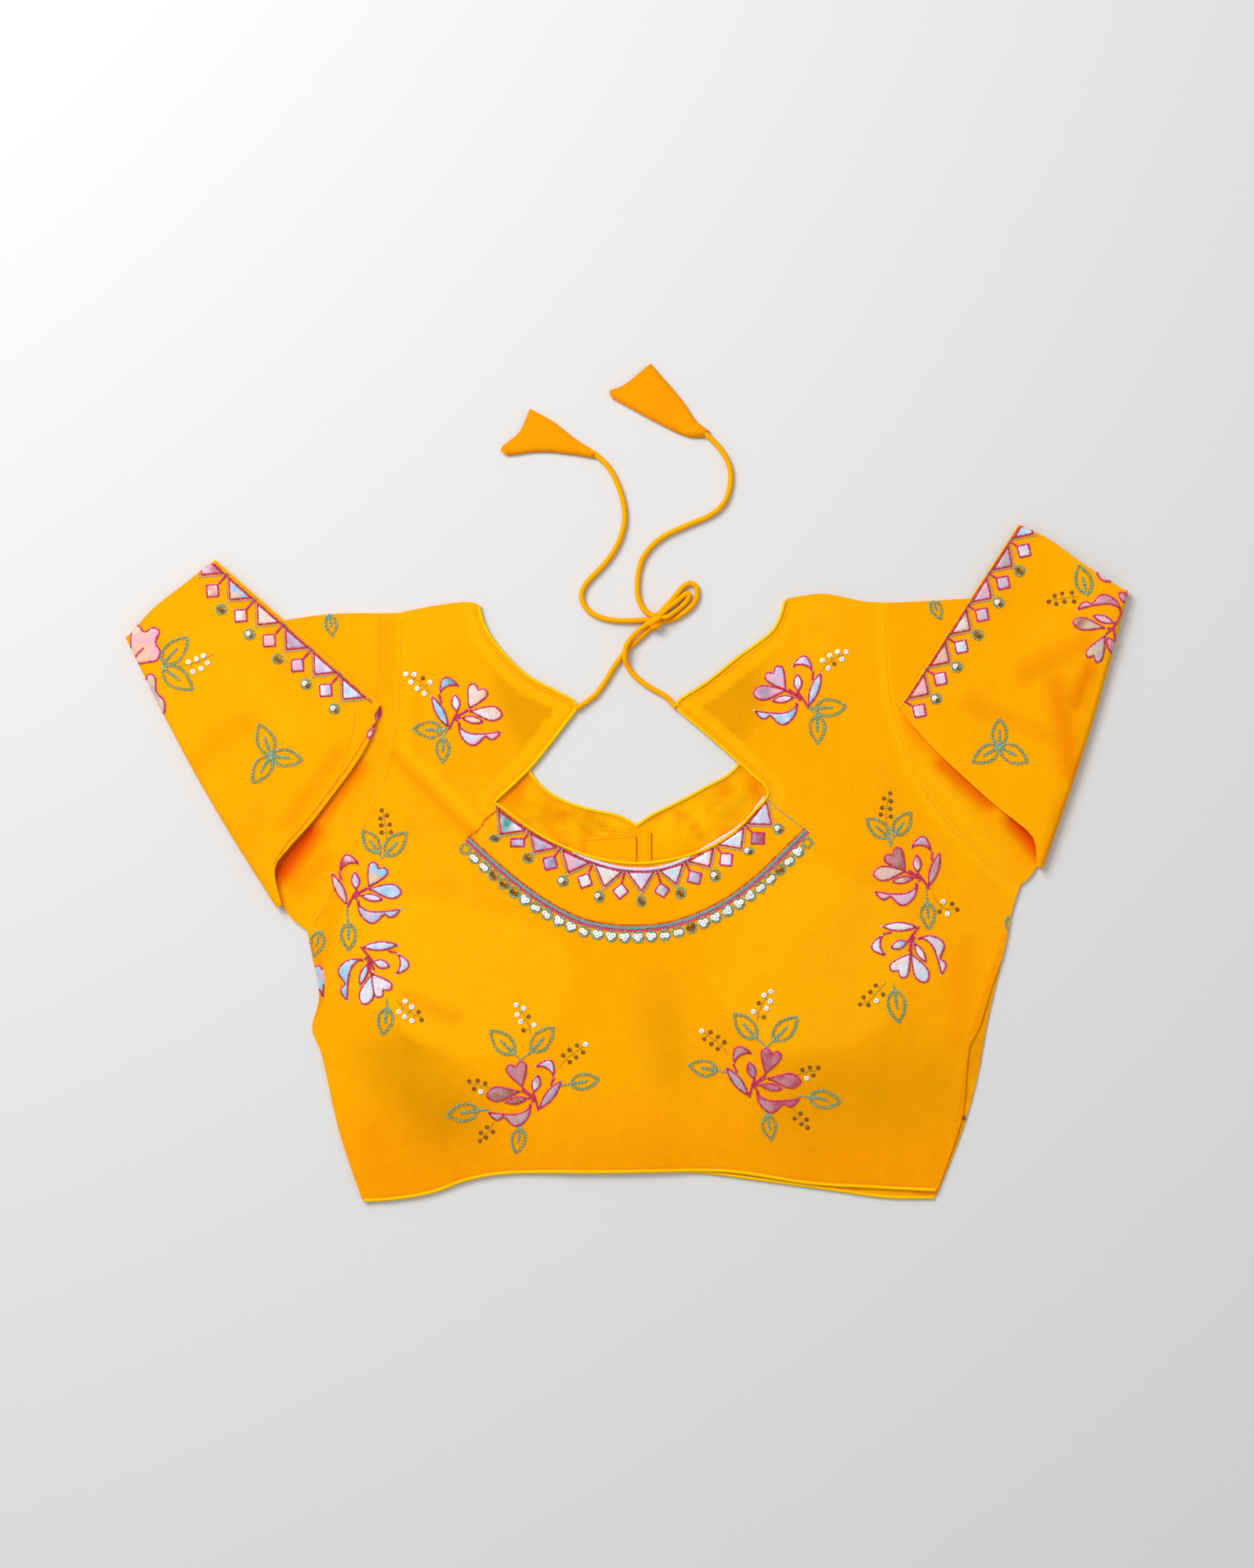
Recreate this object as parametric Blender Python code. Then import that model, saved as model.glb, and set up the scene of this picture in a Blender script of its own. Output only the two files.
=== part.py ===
"""Choli blouse laid flat with its back side up.

Every cut and sewn piece is its own object at real size, +Z up, on the plane z = 0.
Tables and named sizes are in millimetres and become metres when a mesh is made.
X runs across the blouse, Y from the hem to the neck.
"""

import math
from collections import namedtuple

import bmesh
import bpy
from mathutils import Vector
from mathutils.geometry import delaunay_2d_cdt

MM = 0.001

# Cloth and trim
WALL = 1.0
SEAM = 0.3
PIPING = 2.2
PIPING_RADIUS = PIPING / 2
TRIM_INSET = PIPING + SEAM
BACK_UNDER = WALL + SEAM
CORD_RADIUS = 1.8
FLOOR_CLEARANCE = 0.05

# Applique
APPLIQUE_HEIGHT = 0.5
APPLIQUE_SKIRT = 0.6
EDGE_MARGIN = 2.0

# Mesh density
OUTLINE_STEP = 13.0
SHOWN_GRID = 17.0
HIDDEN_GRID = 30.0
CORD_STEP = 8.5
SMOOTH_STEPS = 10

# Sleeve fold
FOLD_CENTRE = 4.0
FOLD_ROWS = 6
FOLD_COLUMNS = 12
FOLD_RELAX = 60.0
FOLDED_DROP = 3.1

MARIGOLD = (0.95, 0.42, 0.01, 1.0)
LEMON = (0.92, 0.58, 0.02, 1.0)
PAD_WHITE = (0.90, 0.80, 0.62, 1.0)

Edge = namedtuple("Edge", "name inset points")
Petal = namedtuple("Petal", "kind x y bearing length width opens")
Flower = namedtuple("Flower", "name x y turn opening mirrored")
Lift = namedtuple("Lift", "x0 y0 x1 y1 full fades height")
Crease = namedtuple("Crease", "x0 y0 x1 y1 half_width height")
SleevePlan = namedtuple(
    "SleevePlan",
    "armhole top_to_fold under_to_fold fold_top fold_bottom top_after under_after bow side",
)

# Armhole seams, from the shoulder down
ARMHOLES = {
    "left": [(-155, 169), (-155, 146), (-156, 117), (-158.5, 90), (-165.5, 59), (-175, 37),
             (-186.5, 10), (-201.5, -20), (-216.5, -45)],
    "right": [(177, 176), (177.5, 138), (180.5, 112), (188, 83), (197.5, 59), (212.5, 36),
              (230, 15.5), (248.5, -1.5), (265.5, -15)],
}

# Outline of the back, anticlockwise from the top of the left armhole
BACK_EDGES = (
    Edge("armhole_left", SEAM / 2, ARMHOLES["left"]),
    Edge("side_left", 0.0, [
        (-216.5, -45), (-207, -62), (-204.5, -90), (-211.5, -112), (-206, -131), (-194, -183),
        (-178.5, -229)]),
    Edge("hem", TRIM_INSET, [
        (-178.5, -229), (-156, -227.5), (-131, -223), (-109, -215), (-85, -210.5), (-53, -209.5),
        (-10, -209.5), (47, -208.5), (77, -210), (122, -217), (161, -219.5), (209.5, -222)]),
    Edge("side_right", 0.0, [
        (209.5, -222), (217, -201), (227, -169), (231, -127), (238, -111), (246, -85),
        (254.5, -60), (259.5, -34), (265.5, -15)]),
    Edge("armhole_right", SEAM / 2, ARMHOLES["right"][::-1]),
    Edge("shoulder_right", 0.0, [(177, 176), (159, 177), (132.5, 182), (106, 178.5)]),
    Edge("neck", TRIM_INSET, [(106, 178.5), (102, 165), (95, 155), (74.5, 140), (54, 123.5), (36, 112)]),
    Edge("neck", TRIM_INSET, [(36, 112), (33, 109), (32.5, 105.5), (35, 102)]),
    Edge("neck", TRIM_INSET, [(35, 102), (54, 86), (74.5, 68), (87, 56.5)]),
    Edge("neck", TRIM_INSET, [(87, 56.5), (93, 51.5), (94, 45.5), (87, 37.5)]),
    Edge("neck", TRIM_INSET, [
        (87, 37.5), (72.5, 22.5), (54, 11), (32, 4), (7.5, 1), (-18.5, 4), (-39, 11),
        (-59.5, 21), (-88, 41.5)]),
    Edge("neck", TRIM_INSET, [(-88, 41.5), (-65.5, 63), (-51.5, 80), (-36, 100)]),
    Edge("neck", TRIM_INSET, [(-36, 100), (-33.5, 103.5), (-33.5, 107.5), (-37, 111.5)]),
    Edge("neck", TRIM_INSET, [
        (-37, 111.5), (-49.5, 118), (-65.5, 126.5), (-79.5, 139), (-91, 153), (-97, 165),
        (-99, 174.5)]),
    Edge("shoulder_left", 0.0, [(-99, 174.5), (-109, 176.5), (-132.5, 173.5), (-155, 169)]),
)
BOWL_EDGE = 10

# Hidden and shown edges of the fronts, which lie under the back
CENTRE_FRONT = [(6.5, 26.5), (8.5, -209.5)]
FRONT_NECK_LEFT = [
    (6.5, 26.5), (-6, 33), (-30.5, 38.5), (-51, 47.5), (-65.5, 63), (-82, 96), (-94.5, 138), (-99, 174.5)]
FRONT_NECK_RIGHT = [
    (106, 178.5), (98, 138), (87.5, 96), (73.5, 65.5), (52.5, 52), (35, 42.5), (16, 33), (6.5, 26.5)]
FRONT_SIDE_LEFT = [
    (-216.5, -45), (-213, -62), (-208, -90), (-213, -112), (-206, -131), (-194, -183), (-178.5, -229)]
FRONT_HEM_LEFT = [
    (-178.5, -229), (-156, -227.5), (-131, -223), (-109, -215), (-85, -210.5), (-53, -209.5), (8.5, -209.5)]
FRONT_HEM_RIGHT = [
    (8.5, -209.5), (47, -209.5), (95, -215.5), (135, -221), (175, -226.5), (208, -227)]
FRONT_SIDE_RIGHT = [
    (208, -227), (225, -185), (236, -148), (244, -105), (254.5, -60), (259.5, -34), (265.5, -15)]

# Placket strips: left, right, top
UNDERLAP = (-28.0, 6.0, 18.0)
EYE_STRIP = (7.5, 16.0, 21.0)
PLACKET_FOOT = -206.0

# Padded cups between front and back: centre x, y, radius across, radius along
CUPS = {"left": (-112.0, -74.0, 74.0, 58.0), "right": (117.0, -60.0, 68.0, 60.0)}
CUP_THICKNESS = 2.0

# What raises the back above the pieces under it
LIFTS = (
    Lift(-6, 8, -6, -240, 27, 34, 1.35),
    Lift(-123, -74, -101, -74, 62, 40, 2.4),
    Lift(111, -60, 123, -60, 64, 40, 2.4),
)

CREASES = (
    Crease(-149, 65, -107, 24, 8, 1.2),
    Crease(-150, -86, -118, -100, 8, 0.9),
    Crease(-146, 72, -143, 118, 5, 0.8),
)

# One flower: petals about the point where their stems meet
PETALS = (
    Petal("heart", -8.5, 6.8, 104, 18.5, 15.0, True),
    Petal("crescent", -0.5, 21.5, -35, 16.5, 11.0, True),
    Petal("leaf", 1.2, 3.6, 88, 12.6, 6.5, True),
    Petal("leaf", 3.4, -7.2, 51, 24.7, 7.5, True),
    Petal("drop", -9.5, 4.4, 190, 23.5, 10.0, False),
    Petal("leaf", -5.0, -0.5, 191, 15.7, 5.4, False),
    Petal("scallop", -2.2, -5.0, 188, 30.5, 12.0, False),
)

FLOWERS = (
    Flower("low_left", -62, -159, 0, 0, False),
    Flower("low_right", 84.5, -150, 0, 0, True),
    Flower("high_left", -117, 98, 0, 10, True),
    Flower("high_right", 118, 112, 0, 18, False),
    Flower("side_left_upper", -185, -22, 0, 12, True),
    Flower("side_left_lower", -174.5, -62.5, -100, 25, True),
    Flower("side_right_upper", 199, -10, 0, 20, False),
    Flower("side_right_lower", 192, -49, 112, 16, False),
)

# Neck border and the arc below it
BORDER_TRIANGLES = 9
BORDER_PITCH = 23.3
BORDER_MIDDLE = 0.512
TRIANGLE_BASE = 19.0
TRIANGLE_DEPTH = 13.0
TRIANGLE_START = 4.6
DIAMOND_SIZE = 11.0
DIAMOND_CENTRE = 17.5
ARC_BAND = [
    (-106, 20), (-86, 1), (-55, -21), (-25, -36.5), (5.5, -42.5), (36, -40), (66, -27.5), (97, -4), (121, 20)]
ARC_BAND_WIDTH = 4.5

SLEEVES = {
    "left": SleevePlan(
        armhole=ARMHOLES["left"],
        top_to_fold=[(-155, 169), (-203.5, 168), (-260, 160)],
        under_to_fold=[(-216.5, -45), (-226, -38)],
        fold_top=(-338.5, 152.5), fold_bottom=(-236.5, -30),
        top_after=[(-319.5, 172), (-302, 186), (-278, 205)],
        under_after=[(-236.5, -3.5), (-227, 11), (-213.5, 26.5), (-200.5, 43.5), (-185, 64.5),
                     (-174, 83), (-166.5, 107)],
        bow=4.0, side=-1),
    "right": SleevePlan(
        armhole=ARMHOLES["right"],
        top_to_fold=[(177, 176), (201.5, 177), (270, 181)],
        under_to_fold=[(265.5, -15), (272, -9.5)],
        fold_top=(338.5, 183.5), fold_bottom=(280.5, -3.5),
        top_after=[(323, 192), (305.5, 203.5), (286, 218), (264.5, 229)],
        under_after=[(273.5, 17), (261, 29), (248.5, 39), (220.5, 64.5), (205, 79.5), (191, 95),
                     (183.5, 105)],
        bow=3.0, side=1),
}

# Tied cord: x, y, height of its middle above the floor
LOW = CORD_RADIUS + FLOOR_CLEARANCE
OVER = LOW + 2 * CORD_RADIUS + SEAM
TIE_LEFT = [
    (-32.6, 105.5, 2.9), (-27.5, 109, LOW), (-21, 114, LOW), (-14.5, 123, LOW), (-8.5, 133, LOW),
    (-3.5, 140, LOW), (0, 144.5, LOW), (4.5, 148.5, LOW), (9.5, 153, LOW), (15.4, 158.4, LOW)]
TIE_RIGHT = [
    (31.2, 106.7, 2.9), (26.5, 112.5, LOW), (18.5, 117, LOW), (10, 122.5, LOW), (3, 129, LOW),
    (-0.5, 135, LOW + 1.5), (-1.6, 141, OVER), (-0.6, 147, OVER), (3.5, 153, OVER - 1.4),
    (8.5, 157.6, LOW + 2.4), (13.4, 161.0, LOW + 2.3)]
BOW_OUTER = [
    (23.0, 169.7, LOW + 0.3), (31, 178.5, LOW), (38, 187, LOW), (43, 189.6, LOW), (46.8, 187, LOW),
    (47.4, 180, LOW), (44.5, 174.4, LOW), (37.5, 168.4, LOW), (31, 164.8, LOW), (25.1, 163.3, LOW + 0.3)]
BOW_INNER = [
    (24.4, 169.4, OVER + 0.2), (27.6, 172.4, OVER), (32, 175.4, LOW + 2.6), (37.6, 180.2, LOW + 0.2),
    (41, 183.2, LOW), (42.6, 180.2, LOW), (38.8, 175.3, LOW), (34.4, 171.4, LOW + 0.6),
    (30.6, 168.4, LOW + 2.6), (25.8, 165.5, OVER)]
TAIL_LEFT = [
    (15.0, 164.4, LOW), (3.5, 163.8, LOW), (-8.5, 164, LOW), (-19.5, 166.5, LOW), (-27, 171.5, LOW),
    (-31, 179.5, LOW), (-29, 187, LOW), (-25, 192, LOW), (-14.5, 203, LOW), (-6.5, 215, LOW),
    (-2, 228.5, LOW), (-2, 241, LOW), (-6, 255, LOW), (-12, 267, LOW), (-20.5, 275.5, LOW)]
TAIL_RIGHT = [
    (17.0, 167.3, LOW + 1.8), (10.8, 171.6, LOW + 0.5), (7.5, 180, LOW), (7, 188.5, LOW), (8, 197.5, LOW),
    (12, 208.5, LOW), (23.5, 220, LOW), (40, 228, LOW), (57, 235.5, LOW), (66, 244, LOW), (70, 257, LOW),
    (69, 269, LOW), (63, 280, LOW), (54.1, 289.3, LOW)]
KNOT_CENTRE = (19.8, 163.3, 4.4)
KNOT_RADII = (4.4, 6.6, 4.3)
KNOT_TURN = math.radians(-28)

# Folded cloth tassels: neck end, then both long edges to the open mouth
TASSELS = {
    "left": dict(
        neck=[(-20.3, 277.6), (-22.6, 273.6)],
        outer=[(-20.3, 277.6), (-36, 287.5), (-50, 298.5), (-65.5, 307)],
        inner=[(-22.6, 273.6), (-36, 276), (-58, 278), (-80.5, 275.5)],
        mouth=[(-65.5, 307), (-73, 291), (-85.5, 280), (-80.5, 275.5)]),
    "right": dict(
        neck=[(56.0, 291.8), (51.6, 287.6)],
        outer=[(56.0, 291.8), (46.5, 299), (37, 313), (16, 337.5)],
        inner=[(51.6, 287.6), (40, 288.5), (20.5, 297.5), (-10, 314)],
        mouth=[(16, 337.5), (-2, 323), (-12, 319), (-10, 314)]),
}
TASSEL_HEIGHT = 3.7


def flat_distance(a, b):
    return math.hypot(b[0] - a[0], b[1] - a[1])


def smooth(points, step, least=1):
    """A smooth curve through the points, resampled at about the step, with both ends kept."""
    if len(points) == 2:
        dense = [Vector(points[0]), Vector(points[1])]
    else:
        knots = [Vector(p) for p in points]
        knots = [2 * knots[0] - knots[1]] + knots + [2 * knots[-1] - knots[-2]]
        dense = []
        for a, b, c, d in zip(knots, knots[1:], knots[2:], knots[3:]):
            for k in range(SMOOTH_STEPS):
                t = k / SMOOTH_STEPS
                dense.append(0.5 * (2 * b + (c - a) * t + (2 * a - 5 * b + 4 * c - d) * t ** 2
                                    + (3 * b - a - 3 * c + d) * t ** 3))
        dense.append(knots[-2])
    return resample(dense, step, least)


def resample(dense, step, least=1):
    """Evenly spaced points along a polyline."""
    lengths = [0.0]
    for a, b in zip(dense, dense[1:]):
        lengths.append(lengths[-1] + (b - a).length)
    parts = max(least, round(lengths[-1] / step))
    points, at = [], 0
    for k in range(parts + 1):
        wanted = lengths[-1] * k / parts
        while at < len(dense) - 2 and lengths[at + 1] < wanted:
            at += 1
        span = lengths[at + 1] - lengths[at]
        share = (wanted - lengths[at]) / span if span else 0.0
        points.append(tuple(dense[at].lerp(dense[at + 1], min(max(share, 0.0), 1.0))))
    return points


def inside(point, loop):
    """Whether a plan point lies in a closed loop."""
    x, y = point
    found = False
    for (x0, y0), (x1, y1) in zip(loop, loop[1:] + loop[:1]):
        if (y0 > y) != (y1 > y) and x < x0 + (y - y0) * (x1 - x0) / (y1 - y0):
            found = not found
    return found


def distance_to(point, a, b):
    """Plan distance from a point to a segment."""
    dx, dy = b[0] - a[0], b[1] - a[1]
    length = dx * dx + dy * dy
    share = ((point[0] - a[0]) * dx + (point[1] - a[1]) * dy) / length if length else 0.0
    share = min(max(share, 0.0), 1.0)
    return math.hypot(point[0] - a[0] - share * dx, point[1] - a[1] - share * dy)


def clear_of(point, segments, gap):
    return all(distance_to(point, a, b) >= gap for a, b in segments)


def inset_loop(points, insets):
    """A closed anticlockwise loop moved inwards, each side by its own amount."""
    count = len(points)
    moved = []
    for k in range(count):
        before, here, after = points[k - 1], points[k], points[(k + 1) % count]
        first, second = insets[k - 1], insets[k]
        n1 = Vector((before[1] - here[1], here[0] - before[0])).normalized()
        n2 = Vector((here[1] - after[1], after[0] - here[0])).normalized()
        cross = n1.x * n2.y - n1.y * n2.x
        if abs(cross) < 0.2:
            shift = (n1 + n2).normalized() * max(first, second)
        else:
            shift = Vector(((first * n2.y - second * n1.y) / cross, (second * n1.x - first * n2.x) / cross))
        moved.append((here[0] + shift.x, here[1] + shift.y))
    return moved


def offset_line(points, amount):
    """An open plan line moved to its left by the amount."""
    moved = []
    last = len(points) - 1
    for k, here in enumerate(points):
        before, after = points[max(k - 1, 0)], points[min(k + 1, last)]
        normal = Vector((before[1] - after[1], after[0] - before[0])).normalized()
        moved.append((here[0] + normal.x * amount, here[1] + normal.y * amount))
    return moved


class Pattern:
    """A panel's closed outline made from its named edges."""

    def __init__(self, edges):
        self.points, self.insets, self.names = [], [], []
        for edge in edges:
            fine = edge.name == "neck"
            piece = smooth(edge.points, CORD_STEP if fine else OUTLINE_STEP, 3 if fine else 1)
            self.points += piece[:-1]
            self.insets += [edge.inset] * (len(piece) - 1)
            self.names += [edge.name] * (len(piece) - 1)

    def outline(self):
        """The cloth's own edge, inside its trim and seams."""
        return inset_loop(self.points, self.insets)

    def run(self, name, inset, end_inset):
        """The named edge moved inwards, cut short of its neighbours by the end inset."""
        amounts = [inset if side == name else end_inset for side in self.names]
        loop = inset_loop(self.points, amounts)
        first = self.names.index(name)
        last = len(self.names) - self.names[::-1].index(name)
        return (loop + loop)[first:last + 1]


Fill = namedtuple("Fill", "points triangles sources")


def fill_region(outline, loops, rows, grid):
    """Triangles over a region, through its inner loops and rows, with grid points between."""
    points = list(outline)
    segments = [(k, (k + 1) % len(outline)) for k in range(len(outline))]
    for loop in loops:
        start = len(points)
        points += loop
        segments += [(start + k, start + (k + 1) % len(loop)) for k in range(len(loop))]
    for row in rows:
        start = len(points)
        points += row
        segments += [(start + k, start + k + 1) for k in range(len(row) - 1)]
    drawn = [(points[a], points[b]) for a, b in segments]
    low_x, high_x = min(p[0] for p in outline), max(p[0] for p in outline)
    low_y, high_y = min(p[1] for p in outline), max(p[1] for p in outline)
    row_height = grid * math.sqrt(3) / 2
    for j in range(int((high_y - low_y) / row_height) + 1):
        for i in range(int((high_x - low_x) / grid) + 1):
            point = (low_x + grid * (i + 0.5 * (j % 2) + 0.25), low_y + row_height * (j + 0.5))
            if inside(point, outline) and clear_of(point, drawn, 0.45 * grid):
                points.append(point)
    made, _, faces, sources, _, _ = delaunay_2d_cdt([Vector(p) for p in points], segments, [], 1, 1e-4)
    return Fill([tuple(p) for p in made], [tuple(face) for face in faces], sources)


def add_fill(mesh, fill, outline_count, place):
    """Adds a filled region to a mesh; gives the vertex made for each outline point."""
    used = {k for face in fill.triangles for k in face}
    made = {k: mesh.verts.new(Vector(place(fill.points[k], fill.sources[k])) * MM) for k in used}
    for face in fill.triangles:
        mesh.faces.new([made[k] for k in face])
    rim = {}
    for k in used:
        for source in fill.sources[k]:
            if source < outline_count:
                rim[source] = made[k]
    return rim


def join_rims(mesh, first, second, pairs):
    for a, b in pairs:
        mesh.faces.new((first[a], first[b], second[b], second[a]))


def finish_mesh(name, mesh, material):
    """Turns a closed mesh into a named object of the blouse."""
    bmesh.ops.recalc_face_normals(mesh, faces=mesh.faces)
    data = bpy.data.meshes.new(name)
    mesh.to_mesh(data)
    mesh.free()
    return add_object(name, data, material)


def add_object(name, data, material):
    piece = bpy.data.objects.new(name, data)
    data.materials.append(material)
    BLOUSE.objects.link(piece)
    piece.parent = HOLDER
    return piece


def ramp(value):
    """0 to 1 with level ends."""
    value = min(max(value, 0.0), 1.0)
    return value * value * (3 - 2 * value)


def lifted(x, y):
    """How far the back stands above its lowest level at a plan point."""
    height = 0.0
    for lift in LIFTS:
        away = distance_to((x, y), (lift.x0, lift.y0), (lift.x1, lift.y1))
        height = max(height, lift.height * ramp(1 - (away - lift.full) / lift.fades))
    return height


def creased(x, y):
    """Height of the pressed creases at a plan point."""
    height = 0.0
    for crease in CREASES:
        away = distance_to((x, y), (crease.x0, crease.y0), (crease.x1, crease.y1))
        height = max(height, crease.height * ramp(1 - away / crease.half_width))
    return height


def crease_rows():
    """Ridge and foot lines of each crease, so that the mesh follows it."""
    rows = []
    for crease in CREASES:
        ridge = smooth([(crease.x0, crease.y0), (crease.x1, crease.y1)], SHOWN_GRID, 2)
        rows.append(ridge)
        rows.append(offset_line(ridge, crease.half_width))
        rows.append(offset_line(ridge, -crease.half_width))
    return rows


def back_under(x, y):
    return BACK_UNDER + lifted(x, y) + creased(x, y)


def unit_outline(kind):
    """A petal's outline: along 0 to 1 from its root, across in widths, anticlockwise."""
    steps = 5
    shares = [k / steps for k in range(steps + 1)]
    if kind == "leaf":
        side = [(a, 0.5 * math.sin(math.pi * a) ** 0.85) for a in shares[1:-1]]
        return [(0, 0)] + [(a, -w) for a, w in side] + [(1, 0)] + side[::-1]
    if kind == "drop":
        side = [(a, 1.3 * a * math.sqrt(1 - a)) for a in (0.25, 0.5, 0.75, 0.93)]
        return [(0, 0)] + [(a, -w) for a, w in side] + [(1, 0)] + side[::-1]
    if kind == "heart":
        side = [(0.3, 0.24), (0.6, 0.43), (0.82, 0.5), (0.97, 0.34), (0.98, 0.15)]
        return [(0, 0)] + [(a, -w) for a, w in side] + [(0.86, 0)] + side[::-1]
    if kind == "crescent":
        outer = [(a, math.sin(math.pi * a) ** 0.75) for a in shares[1:-1]]
        inner = [(a, 0.42 * math.sin(math.pi * a)) for a in shares[1:-1]]
        return [(0, 0)] + inner + [(1, 0)] + outer[::-1]
    lobes = [(0.05, 0.5), (0.2, 0.9), (0.38, 1.0), (0.55, 0.85), (0.64, 0.55), (0.78, 0.68), (0.93, 0.5)]
    return [(0, 0), (0.3, 0.12), (0.7, 0.12), (1, 0)] + lobes[::-1]


def turned(x, y, angle):
    return x * math.cos(angle) - y * math.sin(angle), x * math.sin(angle) + y * math.cos(angle)


def petal_loop(petal, flower):
    """A petal's plan outline on its flower, anticlockwise."""
    opening = math.radians(flower.opening if petal.opens else 0)
    bearing = math.radians(petal.bearing) + opening
    root_x, root_y = turned(petal.x, petal.y, opening)
    loop = []
    for along, across in unit_outline(petal.kind):
        dx, dy = turned(along * petal.length, across * petal.width, bearing)
        x, y = root_x + dx, root_y + dy
        x, y = turned(-x if flower.mirrored else x, y, math.radians(flower.turn))
        loop.append((flower.x + x, flower.y + y))
    return loop[::-1] if flower.mirrored else loop


def along_line(line, distance):
    """Point and unit direction at a distance along a plan polyline."""
    for a, b in zip(line, line[1:]):
        length = flat_distance(a, b)
        if distance <= length or b == line[-1]:
            direction = ((b[0] - a[0]) / length, (b[1] - a[1]) / length)
            return (a[0] + direction[0] * distance, a[1] + direction[1] * distance), direction
        distance -= length


def border_loops():
    """Triangles and diamonds below the neck, and the arc band."""
    bowl = smooth(BACK_EDGES[BOWL_EDGE].points, 2.0)[::-1]
    length = sum(flat_distance(a, b) for a, b in zip(bowl, bowl[1:]))
    loops = []
    for k in range(2 * BORDER_TRIANGLES - 1):
        middle = BORDER_MIDDLE * length + (k / 2 - (BORDER_TRIANGLES - 1) / 2) * BORDER_PITCH
        (x, y), (dx, dy) = along_line(bowl, middle)
        if k % 2 == 0:
            corners = [(-TRIANGLE_BASE / 2, TRIANGLE_START), (0, TRIANGLE_START + TRIANGLE_DEPTH),
                       (TRIANGLE_BASE / 2, TRIANGLE_START)]
        else:
            half = DIAMOND_SIZE / 2
            corners = [(-half, DIAMOND_CENTRE), (0, DIAMOND_CENTRE + half), (half, DIAMOND_CENTRE),
                       (0, DIAMOND_CENTRE - half)]
        loops.append([(x + dx * a + dy * b, y + dy * a - dx * b) for a, b in corners])
    arc = smooth(ARC_BAND, OUTLINE_STEP)
    loops.append(offset_line(arc, -ARC_BAND_WIDTH / 2) + offset_line(arc, ARC_BAND_WIDTH / 2)[::-1])
    return loops


def applique_loops(outline):
    """Every raised patch that lies well inside the outline."""
    loops = [petal_loop(petal, flower) for flower in FLOWERS for petal in PETALS]
    loops += border_loops()
    rim = list(zip(outline, outline[1:] + outline[:1]))
    return [loop for loop in loops
            if all(inside(p, outline) and clear_of(p, rim, EDGE_MARGIN) for p in loop)]


def panel(name, outline, material, under, patches=(), rows=(), grid=SHOWN_GRID):
    """A cloth panel: a plain underside and an outer face with raised patches."""
    mesh = bmesh.new()
    feet = [inset_loop(loop, [-APPLIQUE_SKIRT] * len(loop)) for loop in patches]
    loops = [loop for pair in zip(patches, feet) for loop in pair]
    upper = fill_region(outline, loops, rows, grid)
    lower = fill_region(outline, [], rows, 1.2 * grid)
    first_top = len(outline)
    tops = set()
    for top, foot in zip(patches, feet):
        tops.update(range(first_top, first_top + len(top)))
        first_top += len(top) + len(foot)

    def outer(point, sources):
        raised = any(s in tops for s in sources) or (
            not sources and any(inside(point, loop) for loop in patches))
        return (*point, under(*point) + WALL + (APPLIQUE_HEIGHT if raised else 0.0))

    top_rim = add_fill(mesh, upper, len(outline), outer)
    low_rim = add_fill(mesh, lower, len(outline), lambda point, sources: (*point, under(*point)))
    pairs = [(k, (k + 1) % len(outline)) for k in range(len(outline))]
    join_rims(mesh, low_rim, top_rim, pairs)
    return finish_mesh(name, mesh, material)


def tube(name, near, far, edge_a, edge_b, material, place, height, rows=(), shown=SHOWN_GRID):
    """A flattened cloth tube with both ends open, from its flat pattern.

    near and far run from edge a to edge b, and the edges run from near to far.
    place takes a pattern point and a height above the lower face.
    """
    outline = near[:-1] + edge_b[:-1] + far[::-1][:-1] + edge_a[::-1][:-1]
    kinds = ["open"] * (len(near) - 1) + ["fold"] * (len(edge_b) - 1)
    kinds += ["open"] * (len(far) - 1) + ["fold"] * (len(edge_a) - 1)
    inner = inset_loop(outline, [WALL if kind == "fold" else 0.0 for kind in kinds])
    rows_inner = []
    for row in rows:
        first, last = outline.index(row[0]), outline.index(row[-1])
        rows_inner.append([inner[first]] + list(row[1:-1]) + [inner[last]])
    mesh = bmesh.new()
    rims = []
    for loop, lines, level, grid in (
        (outline, rows, 0.0, shown),
        (inner, rows_inner, WALL, HIDDEN_GRID),
        (inner, rows_inner, height - WALL, HIDDEN_GRID),
        (outline, rows, height, HIDDEN_GRID),
    ):
        fill = fill_region(loop, [], lines, grid)
        rims.append(add_fill(mesh, fill, len(loop), lambda p, sources, level=level: place(*p, level)))
    low_out, low_in, high_in, high_out = rims
    count = len(outline)
    for k, kind in enumerate(kinds):
        pair = [(k, (k + 1) % count)]
        if kind == "fold":
            join_rims(mesh, low_out, high_out, pair)
            join_rims(mesh, low_in, high_in, pair)
        else:
            join_rims(mesh, low_out, low_in, pair)
            join_rims(mesh, high_out, high_in, pair)
        if kinds[k - 1] != kind:
            mesh.faces.new((low_out[k], high_out[k], high_in[k], low_in[k]))
    return finish_mesh(name, mesh, material)


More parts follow.
